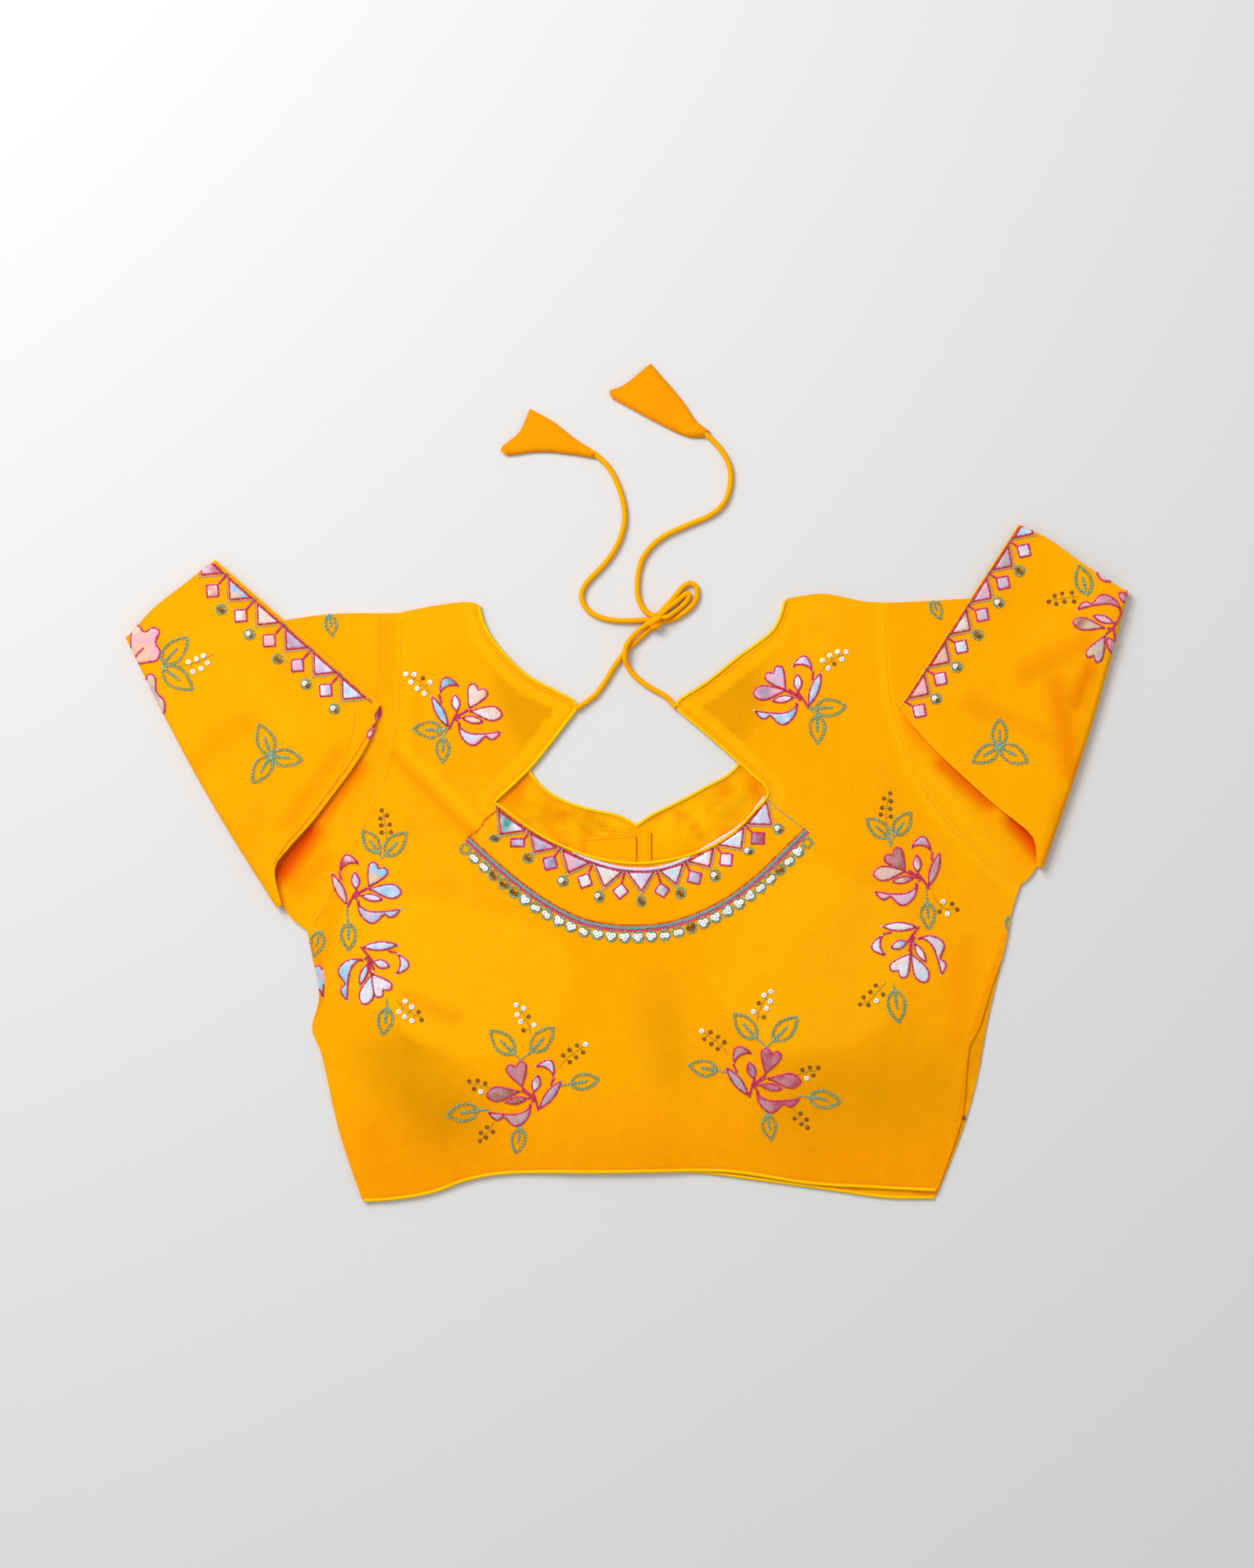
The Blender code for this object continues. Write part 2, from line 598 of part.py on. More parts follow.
class SleeveFold:
    """Rolls a sleeve's flat pattern over the line where it is folded back."""

    def __init__(self, plan):
        self.plan = plan
        self.height = 2 * WALL + SEAM
        self.roll = math.pi * (FOLD_CENTRE - self.height / 2)
        top, bottom = Vector(plan.fold_top), Vector(plan.fold_bottom)
        self.along = (bottom - top).normalized()
        self.out = Vector((self.along.y, -self.along.x)) * (1 if plan.side > 0 else -1)
        if self.out.x * plan.side < 0:
            self.out = -self.out
        self.origin = top - self.out * FOLD_CENTRE
        self.length = (bottom - top).length

    def pattern(self, point, folded):
        """Pattern coordinates of a plan point on the lower or on the folded part."""
        away = Vector(point) - self.origin
        s = away.dot(self.out)
        return (away.dot(self.along), self.roll - s if folded else s)

    def place(self, u, s, level):
        """Where a pattern point lies, at a height above the sleeve's lower face."""
        if s <= 0:
            offset, z, past = s, level, -s
        elif s < self.roll:
            angle = math.pi * s / self.roll
            radius = FOLD_CENTRE - level
            offset, z, past = radius * math.sin(angle), FOLD_CENTRE - radius * math.cos(angle), 0.0
        else:
            past = s - self.roll
            offset = -past
            z = 2 * FOLD_CENTRE - level - FOLDED_DROP * ramp(past / FOLD_RELAX)
        bulge = math.sin(math.pi * min(max(u / self.length, 0.0), 1.0)) * ramp(1 - past / FOLD_RELAX)
        offset += self.plan.bow * bulge
        spot = self.origin + self.along * u + self.out * offset
        return (spot.x, spot.y, z)


def sleeve_pattern(plan, fold):
    """The sleeve's four sides and fold rows in pattern coordinates."""
    step = OUTLINE_STEP
    armhole = offset_line(smooth(plan.armhole, step), SEAM / 2 * plan.side)
    near = [fold.pattern(point, False) for point in armhole]
    levels = [fold.roll * k / FOLD_ROWS for k in range(FOLD_ROWS + 1)]

    def side(before, after, fold_u):
        lead = [fold.pattern(p, False) for p in before[1:]]
        before_fold = smooth([near_end(before), *lead, (fold_u, 0.0)], step)
        rolled = [(fold_u, level) for level in levels]
        tail = smooth([(fold_u, fold.roll)] + [fold.pattern(p, True) for p in after], step)
        return before_fold[:-1] + rolled + tail[1:]

    def near_end(before):
        return near[0] if before[0] == plan.top_to_fold[0] else near[-1]

    edge_a = side(plan.top_to_fold, plan.top_after, 0.0)
    edge_b = side(plan.under_to_fold, plan.under_after, fold.length)
    far = smooth([edge_a[-1], edge_b[-1]], step)
    rows = []
    for level in levels:
        inner = [(fold.length * k / FOLD_COLUMNS, level) for k in range(1, FOLD_COLUMNS)]
        rows.append([(0.0, level)] + inner + [(fold.length, level)])
    return near, far, edge_a, edge_b, rows


def oriented(near, far, edge_a, edge_b, rows):
    """The four sides in the order that makes the outline anticlockwise."""
    outline = near[:-1] + edge_b[:-1] + far[::-1][:-1] + edge_a[::-1][:-1]
    area = sum(a[0] * b[1] - b[0] * a[1] for a, b in zip(outline, outline[1:] + outline[:1]))
    if area > 0:
        return near, far, edge_a, edge_b, rows
    return near[::-1], far[::-1], edge_b, edge_a, [row[::-1] for row in rows]


def build_sleeve(side):
    """One sleeve with its folded-back part, and the piping round its cuff."""
    plan = SLEEVES[side]
    fold = SleeveFold(plan)
    near, far, edge_a, edge_b, rows = sleeve_pattern(plan, fold)
    outward = Vector((far[0][0] - far[-1][0], far[0][1] - far[-1][1])).normalized()
    normal = Vector((outward.y, -outward.x))
    if normal.y < 0:
        normal = -normal
    hem = [(u - normal.x * TRIM_INSET, s - normal.y * TRIM_INSET) for u, s in far]
    sides = oriented(near, hem, edge_a[:-1] + [hem[0]], edge_b[:-1] + [hem[-1]], rows)
    near, hem_far, edge_a, edge_b, rows = sides
    tube("sleeve_" + side, near, hem_far, edge_a, edge_b, CLOTH, fold.place, fold.height, rows)
    start = [(u - normal.x * PIPING, s - normal.y * PIPING) for u, s in far]
    trim = oriented(start, far, [start[0], far[0]], [start[-1], far[-1]], [])
    tube("cuff_piping_" + side, *trim[:4], PIPING_CLOTH, fold.place, fold.height)


def band(name, near, far, low, material):
    """A flat cloth strip between two plan lines."""
    mesh = bmesh.new()
    columns = []
    for (x0, y0), (x1, y1) in zip(near, far):
        corners = ((x0, y0, low), (x1, y1, low), (x1, y1, low + WALL), (x0, y0, low + WALL))
        columns.append([mesh.verts.new(Vector(c) * MM) for c in corners])
    for a, b in zip(columns, columns[1:]):
        for k in range(4):
            mesh.faces.new((a[k], a[(k + 1) % 4], b[(k + 1) % 4], b[k]))
    mesh.faces.new(columns[0])
    mesh.faces.new(columns[-1][::-1])
    return finish_mesh(name, mesh, material)


def cord(name, points, radius, material, resolution=2):
    """A round cord or piping along a line of points in space."""
    data = bpy.data.curves.new(name, "CURVE")
    data.dimensions = "3D"
    data.bevel_depth = radius * MM
    data.bevel_resolution = resolution
    data.use_fill_caps = True
    line = data.splines.new("POLY")
    line.points.add(len(points) - 1)
    for spot, (x, y, z) in zip(line.points, points):
        spot.co = (x * MM, y * MM, z * MM, 1)
    return add_object(name, data, material)


def build_back():
    """Back panel with its applique, and the piping of neck and hem."""
    pattern = Pattern(BACK_EDGES)
    outline = pattern.outline()
    panel("back_panel", outline, CLOTH, back_under, applique_loops(outline), crease_rows())
    for edge in ("neck", "hem"):
        line = pattern.run(edge, PIPING_RADIUS, PIPING_RADIUS)
        route = [(x, y, back_under(x, y) + PIPING_RADIUS) for x, y in line]
        cord(edge + "_piping_back", route, PIPING_RADIUS, PIPING_CLOTH, 1)


def build_fronts():
    """Both fronts with their pipings, which lie flat on the floor."""
    left = (
        Edge("armhole", SEAM / 2, ARMHOLES["left"]), Edge("side", 0.0, FRONT_SIDE_LEFT),
        Edge("hem", TRIM_INSET, FRONT_HEM_LEFT), Edge("centre", SEAM / 2, CENTRE_FRONT[::-1]),
        Edge("neck", TRIM_INSET, FRONT_NECK_LEFT), Edge("shoulder", 0.0, BACK_EDGES[-1].points))
    right = (
        Edge("centre", SEAM / 2, CENTRE_FRONT), Edge("hem", TRIM_INSET, FRONT_HEM_RIGHT),
        Edge("side", 0.0, FRONT_SIDE_RIGHT), Edge("armhole", SEAM / 2, ARMHOLES["right"][::-1]),
        Edge("shoulder", 0.0, BACK_EDGES[5].points), Edge("neck", TRIM_INSET, FRONT_NECK_RIGHT))
    for side, edges in (("left", left), ("right", right)):
        pattern = Pattern(edges)
        panel("front_" + side, pattern.outline(), CLOTH, lambda x, y: 0.0, grid=HIDDEN_GRID)
        for edge in ("hem", "neck"):
            near, far = pattern.run(edge, 0.0, SEAM), pattern.run(edge, PIPING, SEAM)
            band(f"{edge}_piping_front_{side}", near, far, 0.0, PIPING_CLOTH)


def build_placket():
    """Hook underlap and eye strip on the inside of the fronts."""
    for name, (left, right, top) in (("placket_underlap", UNDERLAP), ("placket_eye_strip", EYE_STRIP)):
        near = smooth([(left, PLACKET_FOOT), (left, top)], HIDDEN_GRID)
        band(name, near, [(right, y) for x, y in near], BACK_UNDER, CLOTH)


def build_cups():
    """Bust cups that show through the cloth: low domes with thin rims."""
    for side, (x, y, across, along) in CUPS.items():
        mesh = bmesh.new()
        bmesh.ops.create_uvsphere(mesh, u_segments=24, v_segments=8, radius=1.0)
        bmesh.ops.bisect_plane(mesh, geom=mesh.verts[:] + mesh.edges[:] + mesh.faces[:],
                               plane_co=(0, 0, 0), plane_no=(0, 0, 1), clear_inner=True)
        bmesh.ops.holes_fill(mesh, edges=[e for e in mesh.edges if e.is_boundary])
        for vert in mesh.verts:
            vert.co = Vector((x + vert.co.x * across, y + vert.co.y * along,
                              BACK_UNDER + vert.co.z * CUP_THICKNESS)) * MM
        finish_mesh("cup_pad_" + side, mesh, PAD_CLOTH)


def build_cord():
    """The tied cord: ties, knot, bow loops and tails."""
    for name, route in (
        ("dori_left", TIE_LEFT), ("dori_right", TIE_RIGHT), ("dori_bow_outer", BOW_OUTER),
        ("dori_bow_inner", BOW_INNER), ("dori_tail_left", TAIL_LEFT), ("dori_tail_right", TAIL_RIGHT),
    ):
        step = CORD_STEP if "tail" in name else CORD_STEP / 2
        cord(name, smooth(route, step), CORD_RADIUS, CORD_CLOTH)
    mesh = bmesh.new()
    bmesh.ops.create_uvsphere(mesh, u_segments=14, v_segments=8, radius=1.0)
    for vert in mesh.verts:
        x, y = turned(vert.co.x * KNOT_RADII[0], vert.co.y * KNOT_RADII[1], KNOT_TURN)
        vert.co = (Vector(KNOT_CENTRE) + Vector((x, y, vert.co.z * KNOT_RADII[2]))) * MM
    finish_mesh("dori_knot", mesh, CORD_CLOTH)


def build_tassels():
    """Folded cloth tassels, each a flattened tube open at its mouth."""
    for side, sizes in TASSELS.items():
        step = OUTLINE_STEP / 1.5
        near = list(sizes["neck"])
        parts = [smooth(sizes[key], step) for key in ("mouth", "outer", "inner")]
        sides = oriented(near, parts[0], parts[1], parts[2], [])

        def place(x, y, level):
            return (x, y, FLOOR_CLEARANCE + level)

        tube("tassel_" + side, *sides[:4], CORD_CLOTH, place, TASSEL_HEIGHT)


def material(name, colour, roughness):
    made = bpy.data.materials.new(name)
    made.use_nodes = True
    shader = made.node_tree.nodes["Principled BSDF"]
    shader.inputs["Base Color"].default_value = colour
    shader.inputs["Roughness"].default_value = roughness
    shader.inputs["Metallic"].default_value = 0.0
    made.diffuse_color = colour
    return made


def main():
    for build in (build_fronts, build_placket, build_cups, build_back):
        build()
    for side in SLEEVES:
        build_sleeve(side)
    build_cord()
    build_tassels()


for old in list(bpy.data.objects):
    bpy.data.objects.remove(old, do_unlink=True)
BLOUSE = bpy.data.collections.new("choli_blouse")
bpy.context.scene.collection.children.link(BLOUSE)
HOLDER = bpy.data.objects.new("choli_blouse_origin", None)
BLOUSE.objects.link(HOLDER)
CLOTH = material("marigold_cotton", MARIGOLD, 0.75)
PIPING_CLOTH = material("lemon_piping", LEMON, 0.6)
CORD_CLOTH = material("marigold_cord", MARIGOLD, 0.65)
PAD_CLOTH = material("pad_cloth", PAD_WHITE, 0.9)
main()
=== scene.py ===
"""Looks of a choli blouse that lies flat with its back side up.

The tables are in millimetres, as the cut pieces are; meshes are made in metres.
X runs across the blouse, Y from the hem to the neck, and Z up from the floor.
"""

import logging
import math
import random
from collections import namedtuple
from dataclasses import dataclass, field
from enum import Enum
from typing import Callable, Iterable, Sequence

import bmesh
import bpy
import numpy as np
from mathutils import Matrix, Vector, noise
from mathutils.bvhtree import BVHTree
from mathutils.geometry import delaunay_2d_cdt


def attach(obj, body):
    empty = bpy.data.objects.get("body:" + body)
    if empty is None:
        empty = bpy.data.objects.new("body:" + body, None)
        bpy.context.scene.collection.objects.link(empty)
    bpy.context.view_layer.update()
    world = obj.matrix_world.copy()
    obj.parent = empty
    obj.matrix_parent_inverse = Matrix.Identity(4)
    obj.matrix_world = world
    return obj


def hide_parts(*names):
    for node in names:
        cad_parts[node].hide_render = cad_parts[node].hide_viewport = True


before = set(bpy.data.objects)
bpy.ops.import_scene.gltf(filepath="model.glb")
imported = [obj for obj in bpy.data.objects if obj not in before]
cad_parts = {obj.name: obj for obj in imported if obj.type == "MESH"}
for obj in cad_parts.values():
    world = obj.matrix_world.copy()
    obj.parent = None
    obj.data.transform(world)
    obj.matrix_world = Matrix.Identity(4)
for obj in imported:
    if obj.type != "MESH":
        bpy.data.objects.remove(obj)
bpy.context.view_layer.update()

LOG = logging.getLogger("choli")
MM = 0.001
Piece = bpy.types.Object
Finish = bpy.types.Material
Socket = bpy.types.NodeSocket
NodeTree = bpy.types.NodeTree
Plan = tuple[float, float]
Line = Sequence[Plan]
Spot = tuple[float, float, float]
Colour = tuple[float, float, float]

# Cloth and trim
WALL = 1.0
SEAM = 0.3
PIPING = 2.2
PIPING_RADIUS = PIPING / 2
TRIM_INSET = PIPING - 0.3
BACK_UNDER = WALL + SEAM
CORD_RADIUS = 1.8
FLOOR_CLEARANCE = 0.05

# Sleeve fold
FOLD_CENTRE = 4.0
FOLD_RELAX = 60.0
FOLDED_DROP = 3.1

Edge = namedtuple("Edge", "name inset points")
Petal = namedtuple("Petal", "kind x y bearing length width opens")
Flower = namedtuple("Flower", "name x y turn opening mirrored")
Lift = namedtuple("Lift", "x0 y0 x1 y1 full fades height")
Crease = namedtuple("Crease", "x0 y0 x1 y1 half_width height")
SleevePlan = namedtuple(
    "SleevePlan",
    "armhole top_to_fold under_to_fold fold_top fold_bottom top_after under_after bow side",
)

# Armhole seams, from the shoulder down
ARMHOLES = {
    "left": [(-155, 169), (-155, 146), (-156, 117), (-158.5, 90), (-165.5, 59), (-175, 37),
             (-186.5, 10), (-201.5, -20), (-216.5, -45)],
    "right": [(177, 176), (177.5, 138), (180.5, 112), (188, 83), (197.5, 59), (212.5, 36),
              (230, 15.5), (248.5, -1.5), (265.5, -15)],
}

# Outline of the back, anticlockwise from the top of the left armhole
BACK_EDGES = (
    Edge("armhole_left", 0.0, ARMHOLES["left"]),
    Edge("side_left", 0.0, [
        (-216.5, -45), (-207, -62), (-204.5, -90), (-211.5, -112), (-206, -131), (-194, -183),
        (-178.5, -229)]),
    Edge("hem", TRIM_INSET, [
        (-178.5, -229), (-156, -227.5), (-131, -223), (-109, -215), (-85, -210.5), (-53, -209.5),
        (-10, -209.5), (47, -208.5), (77, -210), (122, -217), (161, -219.5), (209.5, -222)]),
    Edge("side_right", 0.0, [
        (209.5, -222), (217, -201), (227, -169), (231, -127), (238, -111), (246, -85),
        (254.5, -60), (259.5, -34), (265.5, -15)]),
    Edge("armhole_right", 0.0, ARMHOLES["right"][::-1]),
    Edge("shoulder_right", 0.0, [(177, 176), (159, 177), (132.5, 182), (106, 178.5)]),
    Edge("neck", TRIM_INSET, [(106, 178.5), (102, 165), (95, 155), (74.5, 140), (54, 123.5), (36, 112)]),
    Edge("neck", TRIM_INSET, [(36, 112), (33, 109), (32.5, 105.5), (35, 102)]),
    Edge("neck", TRIM_INSET, [(35, 102), (54, 86), (74.5, 68), (87, 56.5)]),
    Edge("neck", TRIM_INSET, [(87, 56.5), (93, 51.5), (94, 45.5), (87, 37.5)]),
    Edge("neck", TRIM_INSET, [
        (87, 37.5), (72.5, 22.5), (54, 11), (32, 4), (7.5, 1), (-18.5, 4), (-39, 11),
        (-59.5, 21), (-88, 41.5)]),
    Edge("neck", TRIM_INSET, [(-88, 41.5), (-65.5, 63), (-51.5, 80), (-36, 100)]),
    Edge("neck", TRIM_INSET, [(-36, 100), (-33.5, 103.5), (-33.5, 107.5), (-37, 111.5)]),
    Edge("neck", TRIM_INSET, [
        (-37, 111.5), (-49.5, 118), (-65.5, 126.5), (-79.5, 139), (-91, 153), (-97, 165),
        (-99, 174.5)]),
    Edge("shoulder_left", 0.0, [(-99, 174.5), (-109, 176.5), (-132.5, 173.5), (-155, 169)]),
)

# Hidden and shown edges of the fronts, which lie under the back
CENTRE_FRONT = [(6.5, 26.5), (8.5, -209.5)]
FRONT_NECK_LEFT = [
    (6.5, 26.5), (-6, 33), (-30.5, 38.5), (-51, 47.5), (-65.5, 63), (-82, 96), (-94.5, 138), (-99, 174.5)]
FRONT_NECK_RIGHT = [
    (106, 178.5), (98, 138), (87.5, 96), (73.5, 65.5), (52.5, 52), (35, 42.5), (16, 33), (6.5, 26.5)]
FRONT_SIDE_LEFT = [(-216.5, -45), (-213, -62), (-208, -90), (-213, -112)] + BACK_EDGES[1].points[-3:]
FRONT_HEM_LEFT = BACK_EDGES[2].points[:6] + [(8.5, -209.5)]
FRONT_HEM_RIGHT = [
    (8.5, -209.5), (47, -209.5), (95, -215.5), (135, -221), (175, -226.5), (208, -227)]
FRONT_SIDE_RIGHT = [(208, -227), (225, -185), (236, -148), (244, -105)] + BACK_EDGES[3].points[-3:]

# Placket strips: left, right, top
UNDERLAP = (-28.0, 6.0, 18.0)
EYE_STRIP = (7.5, 16.0, 21.0)
PLACKET_FOOT = -206.0

# Padded cups between front and back: centre x, y, radius across, radius along
CUPS = {"left": (-112.0, -74.0, 74.0, 58.0), "right": (117.0, -60.0, 68.0, 60.0)}
CUP_THICKNESS = 2.0
CUP_RINGS = 8
CUP_SIDES = 48
# Where the cloth over the cups is painted paler: the pads showing through and the lifted cloth catching more
# light
CUP_LOOPS = (
    [(-191, -13), (-150, -20), (-110, -28), (-74, -39), (-42, -52), (-36, -74), (-48, -105), (-74, -127),
     (-109, -133), (-143, -119), (-162, -104), (-192, -80)],
    [(122, 6), (80, -20), (53, -52), (55, -79), (74, -111), (109, -130), (148, -124), (175, -108), (191, -66),
     (190, -30)])

# What raises the back above the pieces under it
LIFTS = (
    Lift(-6, 8, -6, -240, 27, 34, 1.35),
    Lift(-123, -74, -101, -74, 62, 40, 2.4),
    Lift(111, -60, 123, -60, 64, 40, 2.4),
)

SLEEVE_CREASES = (
    Crease(296, 118, 304, 66, 11, 1.6), Crease(262, 128, 306, 148, 12, 1.1),
    Crease(228, 112, 286, 88, 12, 0.9),
    Crease(-322, 92, -300, 120, 12, 1.0), Crease(-196, 78, -228, 32, 8, 0.8),
    Crease(-270, 168, -240, 128, 14, 0.9),
    Crease(-286, 62, -258, 100, 12, 0.8), Crease(-168, 93, -157, 103, 3.5, 0.9),
    Crease(-168, 83, -158, 93, 3.5, 0.8),
    Crease(-168, 106, -158, 116, 3.5, 0.8), Crease(-167, 73, -159, 82, 3.5, 0.7))
CREASES = (
    Crease(-149, 65, -107, 24, 5.5, 1.4),
    Crease(-132, 54, -110, 74, 4.5, 0.6),
    Crease(-93, 55, -88, 43, 4, 0.5),
    Crease(-150, -86, -118, -100, 8, 0.9),
    Crease(-146, 72, -143, 118, 5, 0.8),
)

# One flower: petals about the point where their stems meet
PETALS = (
    Petal("heart", -8.6, 7.2, 107, 18.3, 15.2, True),
    Petal("crescent", -0.6, 21.6, -29.5, 15.2, 10.0, True),
    Petal("leaf", -1.4, 4.0, 73, 13.2, 6.8, True),
    Petal("leaf", 2.0, -7.6, 51.7, 26.0, 7.0, True),
    Petal("drop", -8.6, 5.1, 186.5, 24.9, 11.0, False),
    Petal("leaf", -4.4, 0.4, 190.5, 17.0, 5.8, False),
    Petal("scallop", -2.3, -2.0, 191.6, 31.2, 12.0, False),
)
# Where each petal's stem runs to
STEM_ENDS = ((0, 0), (10.5, 9.3), (0, 0), (0, 0), (0, 0), (0, 0), (0, 0))

FLOWERS = (
    Flower("low_left", -62, -159, 0, 0, False),
    Flower("low_right", 84.5, -150, 0, 0, True),
    Flower("high_left", -117, 98, 0, 10, True),
    Flower("high_right", 118, 112, 0, 18, False),
    Flower("side_left_upper", -185, -22, 0, 12, True),
    Flower("side_left_lower", -174.5, -62.5, -100, 25, True),
    Flower("side_right_upper", 199, -10, 0, 20, False),
    Flower("side_right_lower", 192, -49, 112, 16, False),
)

# Neck border: joints between its triangles, then the far corner of each triangle
BORDER_JOINTS = [
    (-88, 37), (-66.5, 21.5), (-45.2, 10), (-23.5, 0), (-1.5, -5.4), (20, -5.2), (39.3, 0.8), (59.6, 12),
    (80, 25.5), (94.8, 43.5)]
BORDER_CORNERS = [
    (-86, 19), (-63, 7), (-40, -7), (-15.5, -16.8), (9.7, -19.8), (33.6, -15), (56.2, -3), (77.5, 9.3),
    (98.3, 25.6)]
# Squares: middle, sides and turn in degrees
BORDER_SQUARES = (
    (-74, 14, 10.4, 6.6, 0), (-52, 0.2, 9.6, 9.2, 13), (-28.5, -11.8, 9.2, 9.4, 19),
    (-4.4, -18.8, 9.3, 8.6, 39),
    (23.6, -18.2, 8.8, 8.4, -35), (45.5, -9.6, 9.6, 8.8, -13), (66.9, 2.6, 9.2, 9.4, -7),
    (88.3, 17, 9.8, 8.8, -2))
# Drop rings: middle and radii
BORDER_DROPS = (
    (-89.5, 17, 3.9, 2.2), (-67, 3.6, 3.6, 3.4), (-43.5, -12, 3.7, 3.7), (-19, -22.4, 3.3, 3.9),
    (9.6, -25.4, 2.9, 3.7), (36, -20.2, 3.4, 3.9), (59.5, -8.2, 3.7, 4.0), (82, 8.2, 3.7, 2.2),
    (102.4, 23.2, 3.6, 3.6))
ARC_BAND = [
    (-107.5, 16.5), (-90, 0.5), (-70, -16), (-50, -29.5), (-30, -39), (-10, -43), (10, -43.5), (30, -41),
    (50, -34), (70, -23.5), (90, -8), (105, 6.5), (121, 22)]

# Painted light and shade of the cloth: a line, its reach, then olive, pale and orange shares
Shade = namedtuple("Shade", "x0 y0 x1 y1 reach olive pale orange")
# Back: painted shade towards the hem, in puckers and creases and along the edges, painted highlight beside a
# crease, and olive shade between the layers showing through below the cups
BACK_SHADES = (
    Shade(-152, -132, -122, -172, 50, 0.55, 0, 0), Shade(120, -165, 205, -150, 52, 0.4, 0, 0.06),
    Shade(24, -96, 26, -136, 30, 0.24, 0, 0), Shade(-170, -222, 205, -222, 95, 0, 0, 0.2),
    Shade(-172, -185, -160, -215, 30, 0, 0, 0.22), Shade(150, -205, 212, -205, 26, 0, 0, 0.18),
    Shade(-159, 74, -106, 21, 7, 0, 0, 0.2), Shade(-151, 78, -98, 25, 8, 0, 0.4, 0),
    Shade(-148, -90, -116, -104, 10, 0, 0, 0.16), Shade(-118, -224, -114, -202, 4, 0, 0, 0.3),
    Shade(-92, -215, -90, -196, 4, 0, 0, 0.24), Shade(28, -212, 30, -192, 5, 0, 0, 0.22),
    Shade(42, -212, 43, -196, 4, 0, 0, 0.2), Shade(70, 168, 100, 120, 14, 0, 0.25, 0),
    Shade(172, 60, 182, 20, 16, 0.1, 0, 0), Shade(230, -60, 222, -120, 18, 0, 0, 0.16),
    Shade(256, -50, 233, -118, 4, 0, 0, 0.3), Shade(233, -118, 222, -190, 4, 0, 0, 0.3),
    Shade(-196, -8, -206, -60, 12, 0, 0, 0.16), Shade(-160, 128, -164, 96, 9, 0, 0, 0.14))
# Front inside: painted shade in its folds and under the back's edges, painted highlight on the ridges between
FRONT_SHADES = (
    Shade(247, -92, 231, -150, 10, 0.55, 0, 0.05), Shade(231, -150, 221, -192, 8, 0.35, 0, 0.1),
    Shade(-66, 29, -48, 33, 7, 0.55, 0, 0), Shade(-48, 33, -34, 34, 6, 0.5, 0, 0.1),
    Shade(-33, 30, -22, 19, 6, 0.5, 0, 0),
    Shade(-80, 45, -70, 58, 9, 0.2, 0, 0.5), Shade(-44, 24, -36, 12, 6, 0, 0.5, 0),
    Shade(-20, 31, 2, 27, 6, 0, 0.3, 0),
    Shade(20, 24, 60, 38, 9, 0, 0.5, 0), Shade(66, 32, 84, 44, 12, 0.5, 0, 0),
    Shade(18, 8, 70, 26, 7, 0.32, 0, 0),
    Shade(84, 60, 88, 42, 6, 0.2, 0, 0.5), Shade(-28, 22, -30, 6, 5, 0.2, 0, 0.3),
    Shade(10, 26, 10, 6, 5, 0, 0, 0.3))
# Painted shade and highlight of the sleeves, on the lower part and on the part folded over it: shade in the
# hollows under the folded edges and in creases, highlight on the fold lips
SLEEVE_SHADES = {
    False: (
        Shade(-214, 22, -234, -6, 15, 0, 0, 1), Shade(-180, 66, -214, 22, 9, 0, 0, 0.6),
        Shade(-206, 2, -222, -16, 12, 0, 0, 0.25), Shade(-163, 160, -163, 120, 10, 0, 0, 0.15),
        Shade(214, 68, 244, 42, 12, 0, 0, 0.75), Shade(262, 29, 280, 8, 13, 0, 0, 1),
        Shade(190, 96, 214, 70, 7, 0, 0, 0.4), Shade(242, 48, 252, 38, 5, 0, 0.6, 0),
        Shade(198, 66, 252, 2, 9, 0, 0.4, 0)),
    True: (
        Shade(-196, 76, -230, 28, 10, 0, 0, 0.16), Shade(-300, 60, -262, 96, 16, 0, 0, 0.16),
        Shade(-246, 118, -228, 92, 16, 0, 0.2, 0), Shade(-318, 96, -330, 120, 14, 0, 0, 0.2),
        Shade(-222, 12, -230, -6, 8, 0.25, 0, 0), Shade(-282, 150, -248, 160, 16, 0, 0.22, 0),
        Shade(290, 120, 300, 62, 13, 0, 0, 0.4), Shade(312, 132, 302, 108, 9, 0, 0, 0.5),
        Shade(232, 108, 290, 84, 12, 0, 0, 0.14), Shade(296, 40, 288, 8, 12, 0, 0, 0.25),
        Shade(240, 132, 282, 160, 18, 0, 0.22, 0), Shade(268, 130, 308, 150, 14, 0, 0, 0.22))}

SLEEVES = {
    "left": SleevePlan(
        armhole=ARMHOLES["left"],
        top_to_fold=[(-155, 169), (-203.5, 168), (-260, 160)],
        under_to_fold=[(-216.5, -45), (-226, -38)],
        fold_top=(-338.5, 152.5), fold_bottom=(-236.5, -30),
        top_after=[(-319.5, 172), (-302, 186), (-278, 205)],
        under_after=[(-236.5, -3.5), (-227, 11), (-213.5, 26.5), (-200.5, 43.5), (-185, 64.5),
                     (-174, 83), (-166.5, 107)],
        bow=4.0, side=-1),
    "right": SleevePlan(
        armhole=ARMHOLES["right"],
        top_to_fold=[(177, 176), (201.5, 177), (270, 181)],
        under_to_fold=[(265.5, -15), (272, -9.5)],
        fold_top=(338.5, 183.5), fold_bottom=(280.5, -3.5),
        top_after=[(323, 192), (305.5, 203.5), (286, 218), (264.5, 229)],
        under_after=[(273.5, 17), (261, 29), (248.5, 39), (220.5, 64.5), (205, 79.5), (191, 95),
                     (183.5, 105)],
        bow=3.0, side=1),
}

